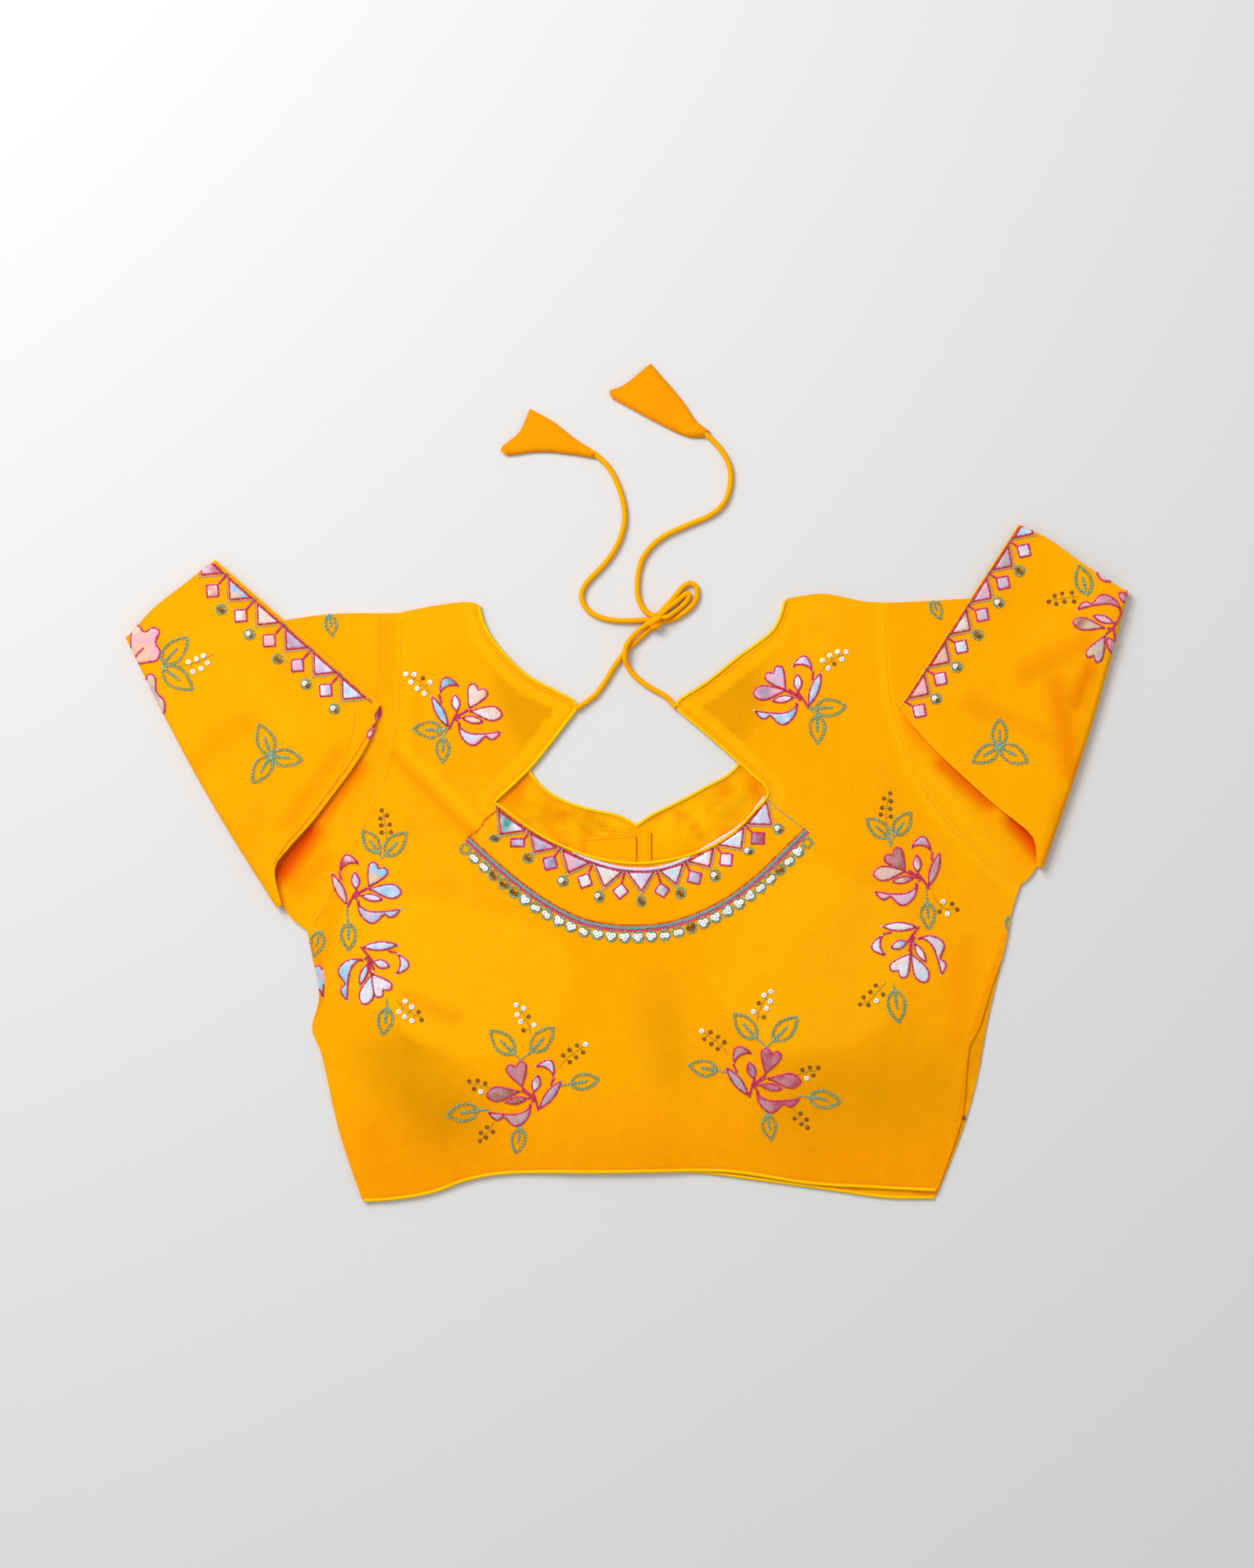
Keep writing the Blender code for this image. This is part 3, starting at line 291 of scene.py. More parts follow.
# Tied cord: x, y, height of its middle above the floor
LOW = CORD_RADIUS + FLOOR_CLEARANCE
OVER = LOW + 2 * CORD_RADIUS + SEAM
TIE_LEFT = [
    (-34.2, 104.4, 2.9), (-27.5, 109, LOW), (-21, 114, LOW), (-14.5, 123, LOW), (-8.5, 133, LOW),
    (-3.5, 140, LOW), (0, 144.5, LOW), (4.5, 148.5, LOW), (9.5, 153, LOW), (15.4, 158.4, LOW)]
TIE_RIGHT = [
    (32.8, 105.4, 2.9), (26.5, 112.5, LOW), (18.5, 117, LOW), (10, 122.5, LOW), (3, 129, LOW),
    (-0.5, 135, LOW + 1.5), (-1.6, 141, OVER), (-0.6, 147, OVER), (3.5, 153, OVER - 1.4),
    (8.5, 157.6, LOW + 2.4), (13.4, 161.0, LOW + 2.3)]
BOW_OUTER = [
    (23.0, 169.7, LOW + 0.3), (31, 178.5, LOW), (38, 187, LOW), (43, 189.6, LOW), (46.8, 187, LOW),
    (47.4, 180, LOW), (44.5, 174.4, LOW), (37.5, 168.4, LOW), (31, 164.8, LOW), (25.1, 163.3, LOW + 0.3)]
BOW_INNER = [
    (24.4, 169.4, OVER + 0.2), (27.6, 172.4, OVER), (32, 175.4, LOW + 2.6), (37.6, 180.2, LOW + 0.2),
    (41, 183.2, LOW), (42.6, 180.2, LOW), (38.8, 175.3, LOW), (34.4, 171.4, LOW + 0.6),
    (30.6, 168.4, LOW + 2.6), (25.8, 165.5, OVER)]
TAIL_LEFT = [
    (15.0, 164.4, LOW), (3.5, 163.8, LOW), (-8.5, 164, LOW), (-19.5, 166.5, LOW), (-27, 171.5, LOW),
    (-31, 179.5, LOW), (-29, 187, LOW), (-25, 192, LOW), (-14.5, 203, LOW), (-6.5, 215, LOW),
    (-2, 228.5, LOW), (-2, 241, LOW), (-6, 255, LOW), (-12, 267, LOW), (-20.5, 275.5, LOW)]
TAIL_RIGHT = [
    (17.0, 167.3, LOW + 1.8), (10.8, 171.6, LOW + 0.5), (7.5, 180, LOW), (7, 188.5, LOW), (8, 197.5, LOW),
    (12, 208.5, LOW), (23.5, 220, LOW), (40, 228, LOW), (57, 235.5, LOW), (66, 244, LOW), (70, 257, LOW),
    (69, 269, LOW), (63, 280, LOW), (54.1, 289.3, LOW)]
KNOT_CENTRE = (19.8, 163.3, 4.4)
KNOT_RADII = (4.4, 6.6, 4.3)
KNOT_TURN = math.radians(-28)

# Folded cloth tassels: neck end, then both long edges to the open mouth
TASSELS = {
    "left": dict(
        neck=[(-20.3, 277.6), (-22.6, 273.6)],
        outer=[(-20.3, 277.6), (-36, 287.5), (-50, 298.5), (-65.5, 307)],
        inner=[(-22.6, 273.6), (-36, 276), (-58, 278), (-80.5, 275.5)],
        mouth=[(-65.5, 307), (-73, 291), (-85.5, 280), (-80.5, 275.5)]),
    "right": dict(
        neck=[(56.0, 291.8), (51.6, 287.6)],
        outer=[(56.0, 291.8), (46.5, 299), (37, 313), (16, 337.5)],
        inner=[(51.6, 287.6), (40, 288.5), (20.5, 297.5), (-10, 314)],
        mouth=[(16, 337.5), (-2, 323), (-12, 319), (-10, 314)]),
}
TASSEL_HEIGHT = 3.7
TASSEL_WALL = 1.6
KNOT_ROWS = 26
KNOT_SIDES = 36

# Sewing: how far it stands above the cloth, spacing of its lines, rings of the arc
ROPE_LIFT = 0.35
DASH_LIFT = 0.75
THREAD_LIFT = 0.2
MACHINE_LIFT = 0.1
STEM_STEP = 1.5
SHORT_STEP = 1.4
CLOVER_ROPE_LIFT = 1.0
CLOVER_DASH_LIFT = 1.3
SQUARE_LIFTS = (0.3, 0.7)
RING_LIFT = 0.3
ARC_RINGS = 31
RING_DROP = 6.2
DARK_RINGS = (0, 1, 4, 5)
DARK_CUFF_RINGS = (1, 3)
SEQUIN_SEED = 40


# Plan geometry

def ramp(value: float) -> float:
    """Gives 0 to 1 with level ends."""
    value = min(max(value, 0.0), 1.0)
    return value * value * (3 - 2 * value)


def turned(x: float, y: float, angle: float) -> Plan:
    """Turns a plan point about the origin, anticlockwise in radians."""
    return x * math.cos(angle) - y * math.sin(angle), x * math.sin(angle) + y * math.cos(angle)


def resample(dense: Sequence[Vector], step: float, least: int = 1) -> list[tuple]:
    """Spaces points evenly along a polyline.

    Args:
        dense: The polyline's points.
        step: Wanted spacing.
        least: Fewest parts.

    Returns:
        Points with both ends kept.
    """
    lengths = [0.0]
    for a, b in zip(dense, dense[1:]):
        lengths.append(lengths[-1] + (b - a).length)
    parts = max(least, round(lengths[-1] / step))
    points, at = [], 0
    for k in range(parts + 1):
        wanted = lengths[-1] * k / parts
        while at < len(dense) - 2 and lengths[at + 1] < wanted:
            at += 1
        span = lengths[at + 1] - lengths[at]
        share = (wanted - lengths[at]) / span if span else 0.0
        points.append(tuple(dense[at].lerp(dense[at + 1], min(max(share, 0.0), 1.0))))
    return points


def smooth(points: Sequence[tuple], step: float, least: int = 1) -> list[tuple]:
    """Draws a smooth curve through points and resamples it.

    Args:
        points: Plan or space points.
        step: Wanted spacing.
        least: Fewest parts.

    Returns:
        Points of the curve with both ends kept.
    """
    knots = [Vector(p) for p in points]
    if len(knots) == 2:
        return resample(knots, step, least)
    knots = [2 * knots[0] - knots[1]] + knots + [2 * knots[-1] - knots[-2]]
    dense = []
    for a, b, c, d in zip(knots, knots[1:], knots[2:], knots[3:]):
        for k in range(10):
            t = k / 10
            dense.append(0.5 * (2 * b + (c - a) * t + (2 * a - 5 * b + 4 * c - d) * t ** 2
                                + (3 * b - a - 3 * c + d) * t ** 3))
    dense.append(knots[-2])
    return resample(dense, step, least)


def offset_line(points: Line, amount: float) -> list[Plan]:
    """Moves an open plan line to its left by the amount."""
    moved = []
    last = len(points) - 1
    for k, here in enumerate(points):
        before, after = points[max(k - 1, 0)], points[min(k + 1, last)]
        normal = Vector((before[1] - after[1], after[0] - before[0])).normalized()
        moved.append((here[0] + normal.x * amount, here[1] + normal.y * amount))
    return moved


def inset_loop(points: Line, insets: Sequence[float]) -> list[Plan]:
    """Moves a closed anticlockwise loop inwards, each side by its own amount.

    Args:
        points: Corners of the loop.
        insets: Amount for the side that starts at each corner.

    Returns:
        The moved corners.
    """
    count = len(points)
    moved = []
    for k in range(count):
        before, here, after = points[k - 1], points[k], points[(k + 1) % count]
        first, second = insets[k - 1], insets[k]
        n1 = Vector((before[1] - here[1], here[0] - before[0])).normalized()
        n2 = Vector((here[1] - after[1], after[0] - here[0])).normalized()
        cross = n1.x * n2.y - n1.y * n2.x
        if abs(cross) < 0.2:
            shift = (n1 + n2).normalized() * max(first, second)
        else:
            shift = Vector(((first * n2.y - second * n1.y) / cross, (second * n1.x - first * n2.x) / cross))
        moved.append((here[0] + shift.x, here[1] + shift.y))
    return moved


def sides_of(loop: Sequence) -> list[tuple]:
    """Gives the sides of a closed loop as pairs of corners."""
    return list(zip(loop, [*loop[1:], loop[0]]))


def loop_area(loop: Line) -> float:
    """Gives the signed area of a closed loop."""
    return 0.5 * sum(a[0] * b[1] - b[0] * a[1] for a, b in sides_of(loop))


def anticlockwise(loop: list[Plan]) -> list[Plan]:
    """Turns a closed loop anticlockwise."""
    return loop if loop_area(loop) > 0 else loop[::-1]


def middle_of(points: Line) -> Vector:
    """Gives the mean of plan points."""
    return Vector((sum(p[0] for p in points) / len(points), sum(p[1] for p in points) / len(points)))


def extent(points: Line) -> Plan:
    """Gives how wide and how tall plan points reach."""
    xs, ys = zip(*points)
    return max(xs) - min(xs), max(ys) - min(ys)


def round_loop(x: float, y: float, wide: float, tall: float, count: int) -> list[Plan]:
    """Draws an ellipse about a plan point."""
    return [(x + wide * math.cos(math.tau * k / count), y + tall * math.sin(math.tau * k / count))
            for k in range(count)]


def inside_many(points: np.ndarray, loop: Line) -> np.ndarray:
    """Tells which plan points lie in a closed loop."""
    found = np.zeros(len(points), dtype=bool)
    x, y = points[:, 0], points[:, 1]
    for (x0, y0), (x1, y1) in sides_of(loop):
        crosses = (y0 > y) != (y1 > y)
        if y0 != y1:
            found ^= crosses & (x < x0 + (y - y0) * (x1 - x0) / (y1 - y0))
    return found


def distances(points: np.ndarray, segments: np.ndarray) -> np.ndarray:
    """Gives each point's plan distance to the nearest segment.

    Args:
        points: One row (x, y) each.
        segments: One row (x0, y0, x1, y1) each.

    Returns:
        One distance for each point.
    """
    best = np.full(len(points), 1e9)
    for x0, y0, x1, y1 in segments:
        dx, dy = x1 - x0, y1 - y0
        length = dx * dx + dy * dy
        share = ((points[:, 0] - x0) * dx + (points[:, 1] - y0) * dy) / (length or 1.0)
        share = np.clip(share, 0.0, 1.0)
        away = np.hypot(points[:, 0] - x0 - share * dx, points[:, 1] - y0 - share * dy)
        np.minimum(best, away, out=best)
    return best


def part_away(x: float, y: float, start: Plan, end: Plan) -> float:
    """Gives a plan point's distance to one straight part."""
    dx, dy = end[0] - start[0], end[1] - start[1]
    share = ((x - start[0]) * dx + (y - start[1]) * dy) / (dx * dx + dy * dy or 1.0)
    share = min(max(share, 0.0), 1.0)
    return math.hypot(x - start[0] - share * dx, y - start[1] - share * dy)


def away_from(x: float, y: float, line: Line) -> float:
    """Gives a plan point's distance to an open polyline."""
    return min(part_away(x, y, a, b) for a, b in zip(line, line[1:]))


def away_row(x: float, y: float, row: Lift | Crease | Shade) -> float:
    """Gives a plan point's distance to the line of a table's row."""
    return part_away(x, y, row[:2], row[2:4])


def signed_away(x: float, y: float, loop: Line) -> float:
    """Gives the distance to a closed loop, above zero inside it."""
    best, inside = math.inf, False
    for a, b in sides_of(loop):
        best = min(best, part_away(x, y, a, b))
        if (a[1] > y) != (b[1] > y) and x < a[0] + (y - a[1]) * (b[0] - a[0]) / (b[1] - a[1]):
            inside = not inside
    return best if inside else -best


def shaded(x: float, y: float, shades: Sequence[Shade]) -> Colour:
    """Gives the olive, pale and orange shares of the cloth at a plan point: its painted see-through darkness,
    highlight and shade.
    """
    found = [0.0, 0.0, 0.0]
    for row in shades:
        share = ramp(1 - away_row(x, y, row) / row.reach)
        found = [max(best, amount * share) for best, amount in zip(found, row[5:])]
    return tuple(found)


@dataclass
class Filled:
    """Triangles over a plan region, with the source of each made point."""

    points: list[Plan]
    triangles: list[tuple[int, int, int]]
    sources: list[list[int]]


def fill_region(outline: Line, rows: Iterable[Line], grid: float) -> Filled:
    """Fills a region with near even triangles.

    Args:
        outline: Anticlockwise border.
        rows: Open lines that the triangles must follow.
        grid: Spacing of the points between them.

    Returns:
        The filled region.
    """
    points = list(outline)
    segments = sides_of(range(len(outline)))
    for row in rows:
        start = len(points)
        points += list(row)
        segments += [(start + k, start + k + 1) for k in range(len(row) - 1)]
    xs, ys = [p[0] for p in outline], [p[1] for p in outline]
    height = grid * math.sqrt(3) / 2
    spots = np.array([
        (min(xs) + grid * (i + 0.5 * (j % 2) + 0.25), min(ys) + height * (j + 0.5))
        for j in range(int((max(ys) - min(ys)) / height) + 1)
        for i in range(int((max(xs) - min(xs)) / grid) + 1)])
    spots = spots[inside_many(spots, outline)]
    drawn = np.array([(*points[a], *points[b]) for a, b in segments])
    if len(spots):
        spots = spots[distances(spots, drawn) >= 0.45 * grid]
    points += [tuple(p) for p in spots.tolist()]
    made, _, faces, sources, _, _ = delaunay_2d_cdt([Vector(p) for p in points], segments, [], 1, 1e-4)
    return Filled([tuple(p) for p in made], [tuple(face) for face in faces], sources)


class Pattern:
    """A panel's closed outline made from its named edges."""

    def __init__(self, edges: Sequence[Edge], step: float) -> None:
        """Joins the edges into one loop of about the step."""
        self.points: list[Plan] = []
        self.insets: list[float] = []
        self.names: list[str] = []
        for edge in edges:
            piece = smooth(edge.points, step, 3)
            self.points += piece[:-1]
            self.insets += [edge.inset] * (len(piece) - 1)
            self.names += [edge.name] * (len(piece) - 1)

    def outline(self, extra: float = 0.0) -> list[Plan]:
        """Gives the cloth's own edge, inside its trim and seams."""
        return inset_loop(self.points, [inset + extra for inset in self.insets])

    def run(self, name: str, inset: float) -> list[Plan]:
        """Gives the named edge moved inwards."""
        loop = inset_loop(self.points, [inset] * len(self.points))
        first = self.names.index(name)
        last = len(self.names) - self.names[::-1].index(name)
        return (loop + loop)[first:last + 1]


# Meshes

def new_object(name: str, data: bpy.types.ID,
               material: Finish | None = None) -> Piece:
    """Adds an object to the scene, with its material if it has one."""
    piece = bpy.data.objects.new(name, data)
    if material:
        data.materials.append(material)
    bpy.context.scene.collection.objects.link(piece)
    return piece


def settle(piece: Piece, slot: str, *nodes: str) -> None:
    """Puts a piece on the body and hides the solids it stands for."""
    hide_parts(*nodes)
    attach(piece, "root")


@dataclass
class MeshData:
    """Grows one mesh: points in millimetres, faces, pattern places and tones, which hold painted shade and
    highlight on cloth and print colours on satin.
    """

    points: list[Spot] = field(default_factory=list)
    faces: list[tuple[int, ...]] = field(default_factory=list)
    places: list[Plan] = field(default_factory=list)
    tones_and_shades: list[Colour] = field(default_factory=list)

    def add(self, point: Spot, place: Plan = (0.0, 0.0), tone_and_shade: Colour = (0.0, 0.0, 0.0)) -> int:
        """Adds a point and gives its number."""
        self.points.append(tuple(point))
        self.places.append(tuple(place))
        self.tones_and_shades.append(tuple(tone_and_shade))
        return len(self.points) - 1

    def band(self, first: list[int], second: list[int]) -> None:
        """Joins two rings of points; either may be one point."""
        sides = max(len(first), len(second))
        for j in range(sides):
            i = (j + 1) % sides
            face = (first[j % len(first)], first[i % len(first)], second[i % len(second)],
                    second[j % len(second)])
            self.faces.append(tuple(dict.fromkeys(face)))

    def plate(self, filled: Filled, count: int,
              at: Callable[[int, float, float], tuple[float, float, Colour]]) -> None:
        """Adds a thin closed plate.

        Args:
            filled: Its triangles.
            count: How many points its outline has.
            at: Gives a point's upper and lower height and its tone.
        """
        upper, lower = {}, {}
        for k in sorted({k for face in filled.triangles for k in face}):
            x, y = filled.points[k]
            high, low, tone_and_shade = at(k, x, y)
            upper[k] = self.add((x, y, high), (x, y), tone_and_shade)
            lower[k] = self.add((x, y, low), (x, y), tone_and_shade)
        for a, b, c in filled.triangles:
            self.faces += [(upper[a], upper[b], upper[c]), (lower[c], lower[b], lower[a])]
        rim = {s: k for k in upper for s in filled.sources[k] if s < count}
        for i, j in sides_of(range(count)):
            a, b = rim[i], rim[j]
            if a != b:
                self.faces.append((upper[a], lower[a], lower[b], upper[b]))

    def build(self, name: str, material: Finish, sharp: float = 60.0) -> Piece:
        """Makes the object, smooth except over sharp edges.

        Args:
            name: The object's name.
            material: Its finish.
            sharp: Angle in degrees over which an edge stays sharp.

        Returns:
            The finished object.
        """
        data = bpy.data.meshes.new(name)
        data.from_pydata([tuple(c * MM for c in p) for p in self.points], [], self.faces)
        # Cloth keeps its painted shade, highlight and see-through shares here; satin keeps its print colours.
        shade = data.color_attributes.new("tone_and_shade", "FLOAT_COLOR", "POINT")
        shade.data.foreach_set("color", [v for tone_and_shade in self.tones_and_shades for v in (*tone_and_shade, 1.0)])
        layer = data.uv_layers.new(name="weave")
        corners = np.empty(len(data.loops), dtype=np.int32)
        data.loops.foreach_get("vertex_index", corners)
        layer.data.foreach_set("uv", (np.array(self.places)[corners] * MM).ravel())
        work = bmesh.new()
        work.from_mesh(data)
        bmesh.ops.recalc_face_normals(work, faces=work.faces)
        work.to_mesh(data)
        work.free()
        data.shade_smooth()
        data.set_sharp_from_angle(angle=math.radians(sharp))
        LOG.info("%s has %d faces", name, len(data.polygons))
        return new_object(name, data, material)


Height = Callable[[float, float], float]
Toner = Callable[[float, float], Colour]


def plain_tone(x: float, y: float) -> Colour:
    """Gives the tone of plain cloth."""
    return (0.0, 0.0, 0.0)


def shell(name: str, outline: Line, material: Finish, top: Height, thick: float,
          grid: float, rows: Iterable[Line] = (), tone_and_shade: Toner = plain_tone) -> Piece:
    """Makes a thin closed cloth panel.

    Args:
        name: The piece's name.
        outline: Anticlockwise plan border.
        material: Its finish.
        top: Height of its upper face.
        thick: Thickness.
        grid: Spacing of its points.
        rows: Lines that the mesh follows.
        tone_and_shade: The cloth's painted shade, highlight and see-through shares at a plan point.

    Returns:
        The finished piece.
    """
    def at(_: int, x: float, y: float) -> tuple[float, float, Colour]:
        """Gives a point's heights and tone."""
        z = top(x, y)
        return z, z - thick, tone_and_shade(x, y)

    mesh = MeshData()
    mesh.plate(fill_region(outline, rows, grid), len(outline), at)
    return mesh.build(name, material)


def tube_along(mesh: MeshData, points: Sequence[Spot], radius: float, sides: int) -> None:
    """Adds a round tube along a line.

    Args:
        mesh: The mesh that grows.
        points: Its middle line.
        radius: Half its width.
        sides: Faces round it.
    """
    line = [Vector(p) for p in points]
    rings, run = [], 0.0
    for k, here in enumerate(line):
        along = (line[min(k + 1, len(line) - 1)] - line[max(k - 1, 0)]).normalized()
        across = Vector((along.y, -along.x, 0.0)).normalized()
        up = -along.cross(across)
        if up.z < 0:
            up = -up
        run += (here - line[k - 1]).length if k else 0.0
        ring = []
        for j in range(sides):
            angle = math.tau * j / sides
            spot = here + across * (radius * math.cos(angle)) + up * (radius * math.sin(angle))
            ring.append(mesh.add(spot, (run, radius * min(angle, math.tau - angle))))
        rings.append(ring)
    for a, b in zip(rings, rings[1:]):
        mesh.band(a, b)
    mesh.faces += [tuple(rings[0][::-1]), tuple(rings[-1])]


# Finishes

def srgb(red: float, green: float, blue: float) -> Colour:
    """Turns a display colour of 0 to 255 into a linear one."""
    def one(value: float) -> float:
        """Turns one channel."""
        value /= 255
        return value / 12.92 if value <= 0.04045 else ((value + 0.055) / 1.055) ** 2.4
    return one(red), one(green), one(blue)


class Tree:
    """Adds and links nodes in one node tree."""

    def __init__(self, tree: NodeTree) -> None:
        """Keeps the tree."""
        self.tree = tree

    def link(self, source: Socket, target: Socket) -> None:
        """Links two sockets."""
        self.tree.links.new(source, target)

    def fill(self, made: bpy.types.Node, inputs: dict) -> None:
        """Sets or links a node's inputs, by name or number."""
        for key, value in inputs.items():
            if isinstance(value, Socket):
                self.link(value, made.inputs[key])
            elif isinstance(value, tuple) and len(value) == 3 and made.inputs[key].type == "RGBA":
                made.inputs[key].default_value = (*value, 1.0)
            else:
                made.inputs[key].default_value = value

    def node(self, kind: str, inputs: dict | None = None, **settings: object) -> bpy.types.Node:
        """Adds a node with its settings and inputs."""
        made = self.tree.nodes.new(kind)
        for key, value in settings.items():
            setattr(made, key, value)
        self.fill(made, inputs or {})
        return made

    def maths(self, operation: str, first: object, second: object = 0.0,
              clamp: bool = False) -> Socket:
        """Adds one sum and gives its result."""
        return self.node("ShaderNodeMath", {0: first, 1: second}, operation=operation,
                         use_clamp=clamp).outputs[0]

    def mixed(self, share: object, first: object, second: object, blend: str = "MIX") -> Socket:
        """Mixes two colours and gives the result."""
        return self.node("ShaderNodeMix", {0: share, 6: first, 7: second}, data_type="RGBA",
                         blend_type=blend).outputs[2]

    def dimmed(self, colour: object, factor: object) -> Socket:
        """Multiplies a colour by one factor."""
        grey = self.node("ShaderNodeCombineColor", {0: factor, 1: factor, 2: factor}).outputs[0]
        return self.mixed(1.0, colour, grey, "MULTIPLY")

    def attribute(self, name: str, output: str) -> Socket:
        """Reads a stored attribute."""
        return self.node("ShaderNodeAttribute", attribute_name=name).outputs[output]

    def scaled(self, vector: object, scale: tuple) -> Socket:
        """Scales a vector."""
        return self.node("ShaderNodeVectorMath", {0: vector, 1: scale}, operation="MULTIPLY").outputs[0]

    def noise(self, vector: object, scale: float, detail: float = 2.0) -> Socket:
        """Adds a noise texture and gives its value."""
        return self.node("ShaderNodeTexNoise",
                         {"Vector": vector, "Scale": scale, "Detail": detail}).outputs[0]

    def stretch(self, value: object, low: float, high: float, to_low: float = 0.0,
                to_high: float = 1.0) -> Socket:
        """Maps a range to another, clamped."""
        return self.node("ShaderNodeMapRange", {0: value, 1: low, 2: high, 3: to_low, 4: to_high}).outputs[0]


def new_group(name: str, kind: str, inputs: dict[str, str],
              outputs: dict[str, str]) -> tuple[Tree, object, object]:
    """Starts a node group.

    Args:
        name: The group's name.
        kind: Its tree's type.
        inputs: Socket type by input name.
        outputs: Socket type by output name.

    Returns:
        Its tree, its input sockets and its output node.
    """
    group = bpy.data.node_groups.new(name, kind)
    for sockets, way in ((inputs, "INPUT"), (outputs, "OUTPUT")):
        for label, socket in sockets.items():
            group.interface.new_socket(name=label, in_out=way, socket_type=socket)
    return Tree(group), group.nodes.new("NodeGroupInput").outputs, group.nodes.new("NodeGroupOutput")


def weave_group() -> None:
    """Builds the plain weave: thread relief and uneven thread colour."""
    number = "NodeSocketFloat"
    tree, given, out = new_group("plain_weave", "ShaderNodeTree",
                                 {"Place": "NodeSocketVector", "Pitch": number},
                                 {"Relief": number, "Slub": number})
    parts = tree.node("ShaderNodeSeparateXYZ", {0: given["Place"]}).outputs
    turn = tree.maths("DIVIDE", math.tau, given["Pitch"])
    warp, weft = (tree.maths("SINE", tree.maths("MULTIPLY", parts[k], turn)) for k in (0, 1))
    slubs = [tree.noise(tree.scaled(given["Place"], scale), 1400.0, 1.0)
             for scale in ((1.0, 0.06, 1.0), (0.06, 1.0, 1.0))]
    tree.fill(out, {"Relief": tree.maths("MULTIPLY", warp, weft),
                    "Slub": tree.maths("MULTIPLY", tree.maths("ADD", *slubs), 0.5)})


def new_finish(name: str) -> tuple[Finish, Tree, bpy.types.Node]:
    """Starts a material and gives it with its tree and its shader."""
    made = bpy.data.materials.new(name)
    made.use_nodes = True
    return made, Tree(made.node_tree), made.node_tree.nodes["Principled BSDF"]


@dataclass(frozen=True)
class ClothFinish:
    """Plain woven cotton whose tones, painted light and shade among them, are stored in the mesh."""

    name: str
    colour: Colour
    # Tone colours: darker see-through cloth with painted shade between layers and in folds; paler cloth where
    # pads and doubled layers show through, with painted highlight; painted shade in hollows and creases
    sheer_shade: Colour = srgb(196, 136, 0)
    pale: Colour = srgb(255, 190, 10)
    shade: Colour = srgb(228, 66, 0)
    pitch: float = 0.0007
    roughness: float = 0.8

    def make(self) -> Finish:
        """Builds the material."""
        made, tree, shader = new_finish(self.name)
        weave = tree.node("ShaderNodeGroup", node_tree=bpy.data.node_groups["plain_weave"])
        tree.fill(weave, {"Place": tree.node("ShaderNodeUVMap", uv_map="weave").outputs[0],
                          "Pitch": self.pitch})
        spot = tree.node("ShaderNodeTexCoord").outputs["Object"]
        tones_and_shades = tree.node("ShaderNodeSeparateColor", {0: tree.attribute("tone_and_shade", "Color")}).outputs
        # Broad random patches of a duller orange, the colour of softly shaded cloth: random tone and painted
        # soft shade
        shade_drift = tree.stretch(tree.noise(spot, 9.0, 3.0), 0.35, 0.7)
        duller = tuple(c * f for c, f in zip(self.colour, (0.97, 0.86, 1.0)))
        colour = tree.mixed(tree.maths("MULTIPLY", shade_drift, 0.5), self.colour, duller)
        mottle = tree.stretch(tree.noise(spot, 38.0, 4.0), 0.3, 0.75, 0.75, 1.1)
        # Mix in the stored shares: olive see-through darkness with painted shade, paler cloth with painted
        # highlight, and painted shade
        colour = tree.mixed(tree.maths("MULTIPLY", tones_and_shades[0], mottle, True), colour, self.sheer_shade)
        colour = tree.mixed(tones_and_shades[1], colour, self.pale)
        colour = tree.mixed(tones_and_shades[2], colour, self.shade)
        colour = tree.dimmed(colour, tree.stretch(weave.outputs["Slub"], 0.3, 0.7, 0.93, 1.05))
        soft = tree.noise(spot, 55.0, 3.0)
        broad = tree.noise(tree.scaled(spot, (1.0, 0.4, 1.0)), 24.0, 2.0)
        height = tree.maths("ADD", tree.maths("ADD", soft, tree.maths("MULTIPLY", broad, 6.0)),
                            tree.maths("MULTIPLY", weave.outputs["Relief"], 0.035))
        bump = tree.node("ShaderNodeBump", {"Height": height, "Strength": 0.35, "Distance": 0.0012})
        tree.fill(shader, {"Base Color": colour, "Normal": bump.outputs[0], "Roughness": self.roughness,
                           "Specular IOR Level": 0.03})
        return made


def build_finishes() -> dict[str, Finish]:
    """Builds the cloth finishes by name."""
    weave_group()
    marigold = srgb(255, 171, 0)
    finishes = (
        ClothFinish("marigold_cotton", marigold),
        ClothFinish("front_inside", srgb(255, 180, 0), sheer_shade=srgb(212, 140, 0)),
        ClothFinish("lemon_piping", srgb(255, 200, 4), pitch=0.0009, roughness=0.55),
        ClothFinish("marigold_cord", srgb(255, 174, 0), pitch=0.0006, roughness=0.6),
        ClothFinish("tassel_cloth", srgb(252, 156, 0), roughness=0.7),
        ClothFinish("pad_cloth", srgb(235, 225, 200)),
    )
    return {finish.name: finish.make() for finish in finishes}


# The ground form

def back_under(x: float, y: float) -> float:
    """Gives the height of the back's underside over the pieces under it."""
    height = max(lift.height * ramp(1 - (away_row(x, y, lift) - lift.full) / lift.fades) for lift in LIFTS)
    crease = max(line.height * ramp(1 - away_row(x, y, line) / line.half_width) for line in CREASES)
    return BACK_UNDER + height + crease


def back_top(x: float, y: float) -> float:
    """Gives the height of the back's shown face."""
    soft = noise.noise(Vector((x / 42, y / 42, 1.7))) + 0.5 * noise.noise(Vector((x / 17, y / 17, 5.2)))
    seam = away_from(x, y, ARMHOLES["left"])
    pucker = noise.noise(Vector((x / 4, y / 3, 8.4))) if seam < 7 else 0.0
    face = back_under(x, y) + WALL + 0.45 * soft + (0.5 + 1.1 * pucker) * ramp(1 - abs(seam - 2.2) / 3.2)
    return max(face, PIPING + 0.1)


# Cords, knot, tassels

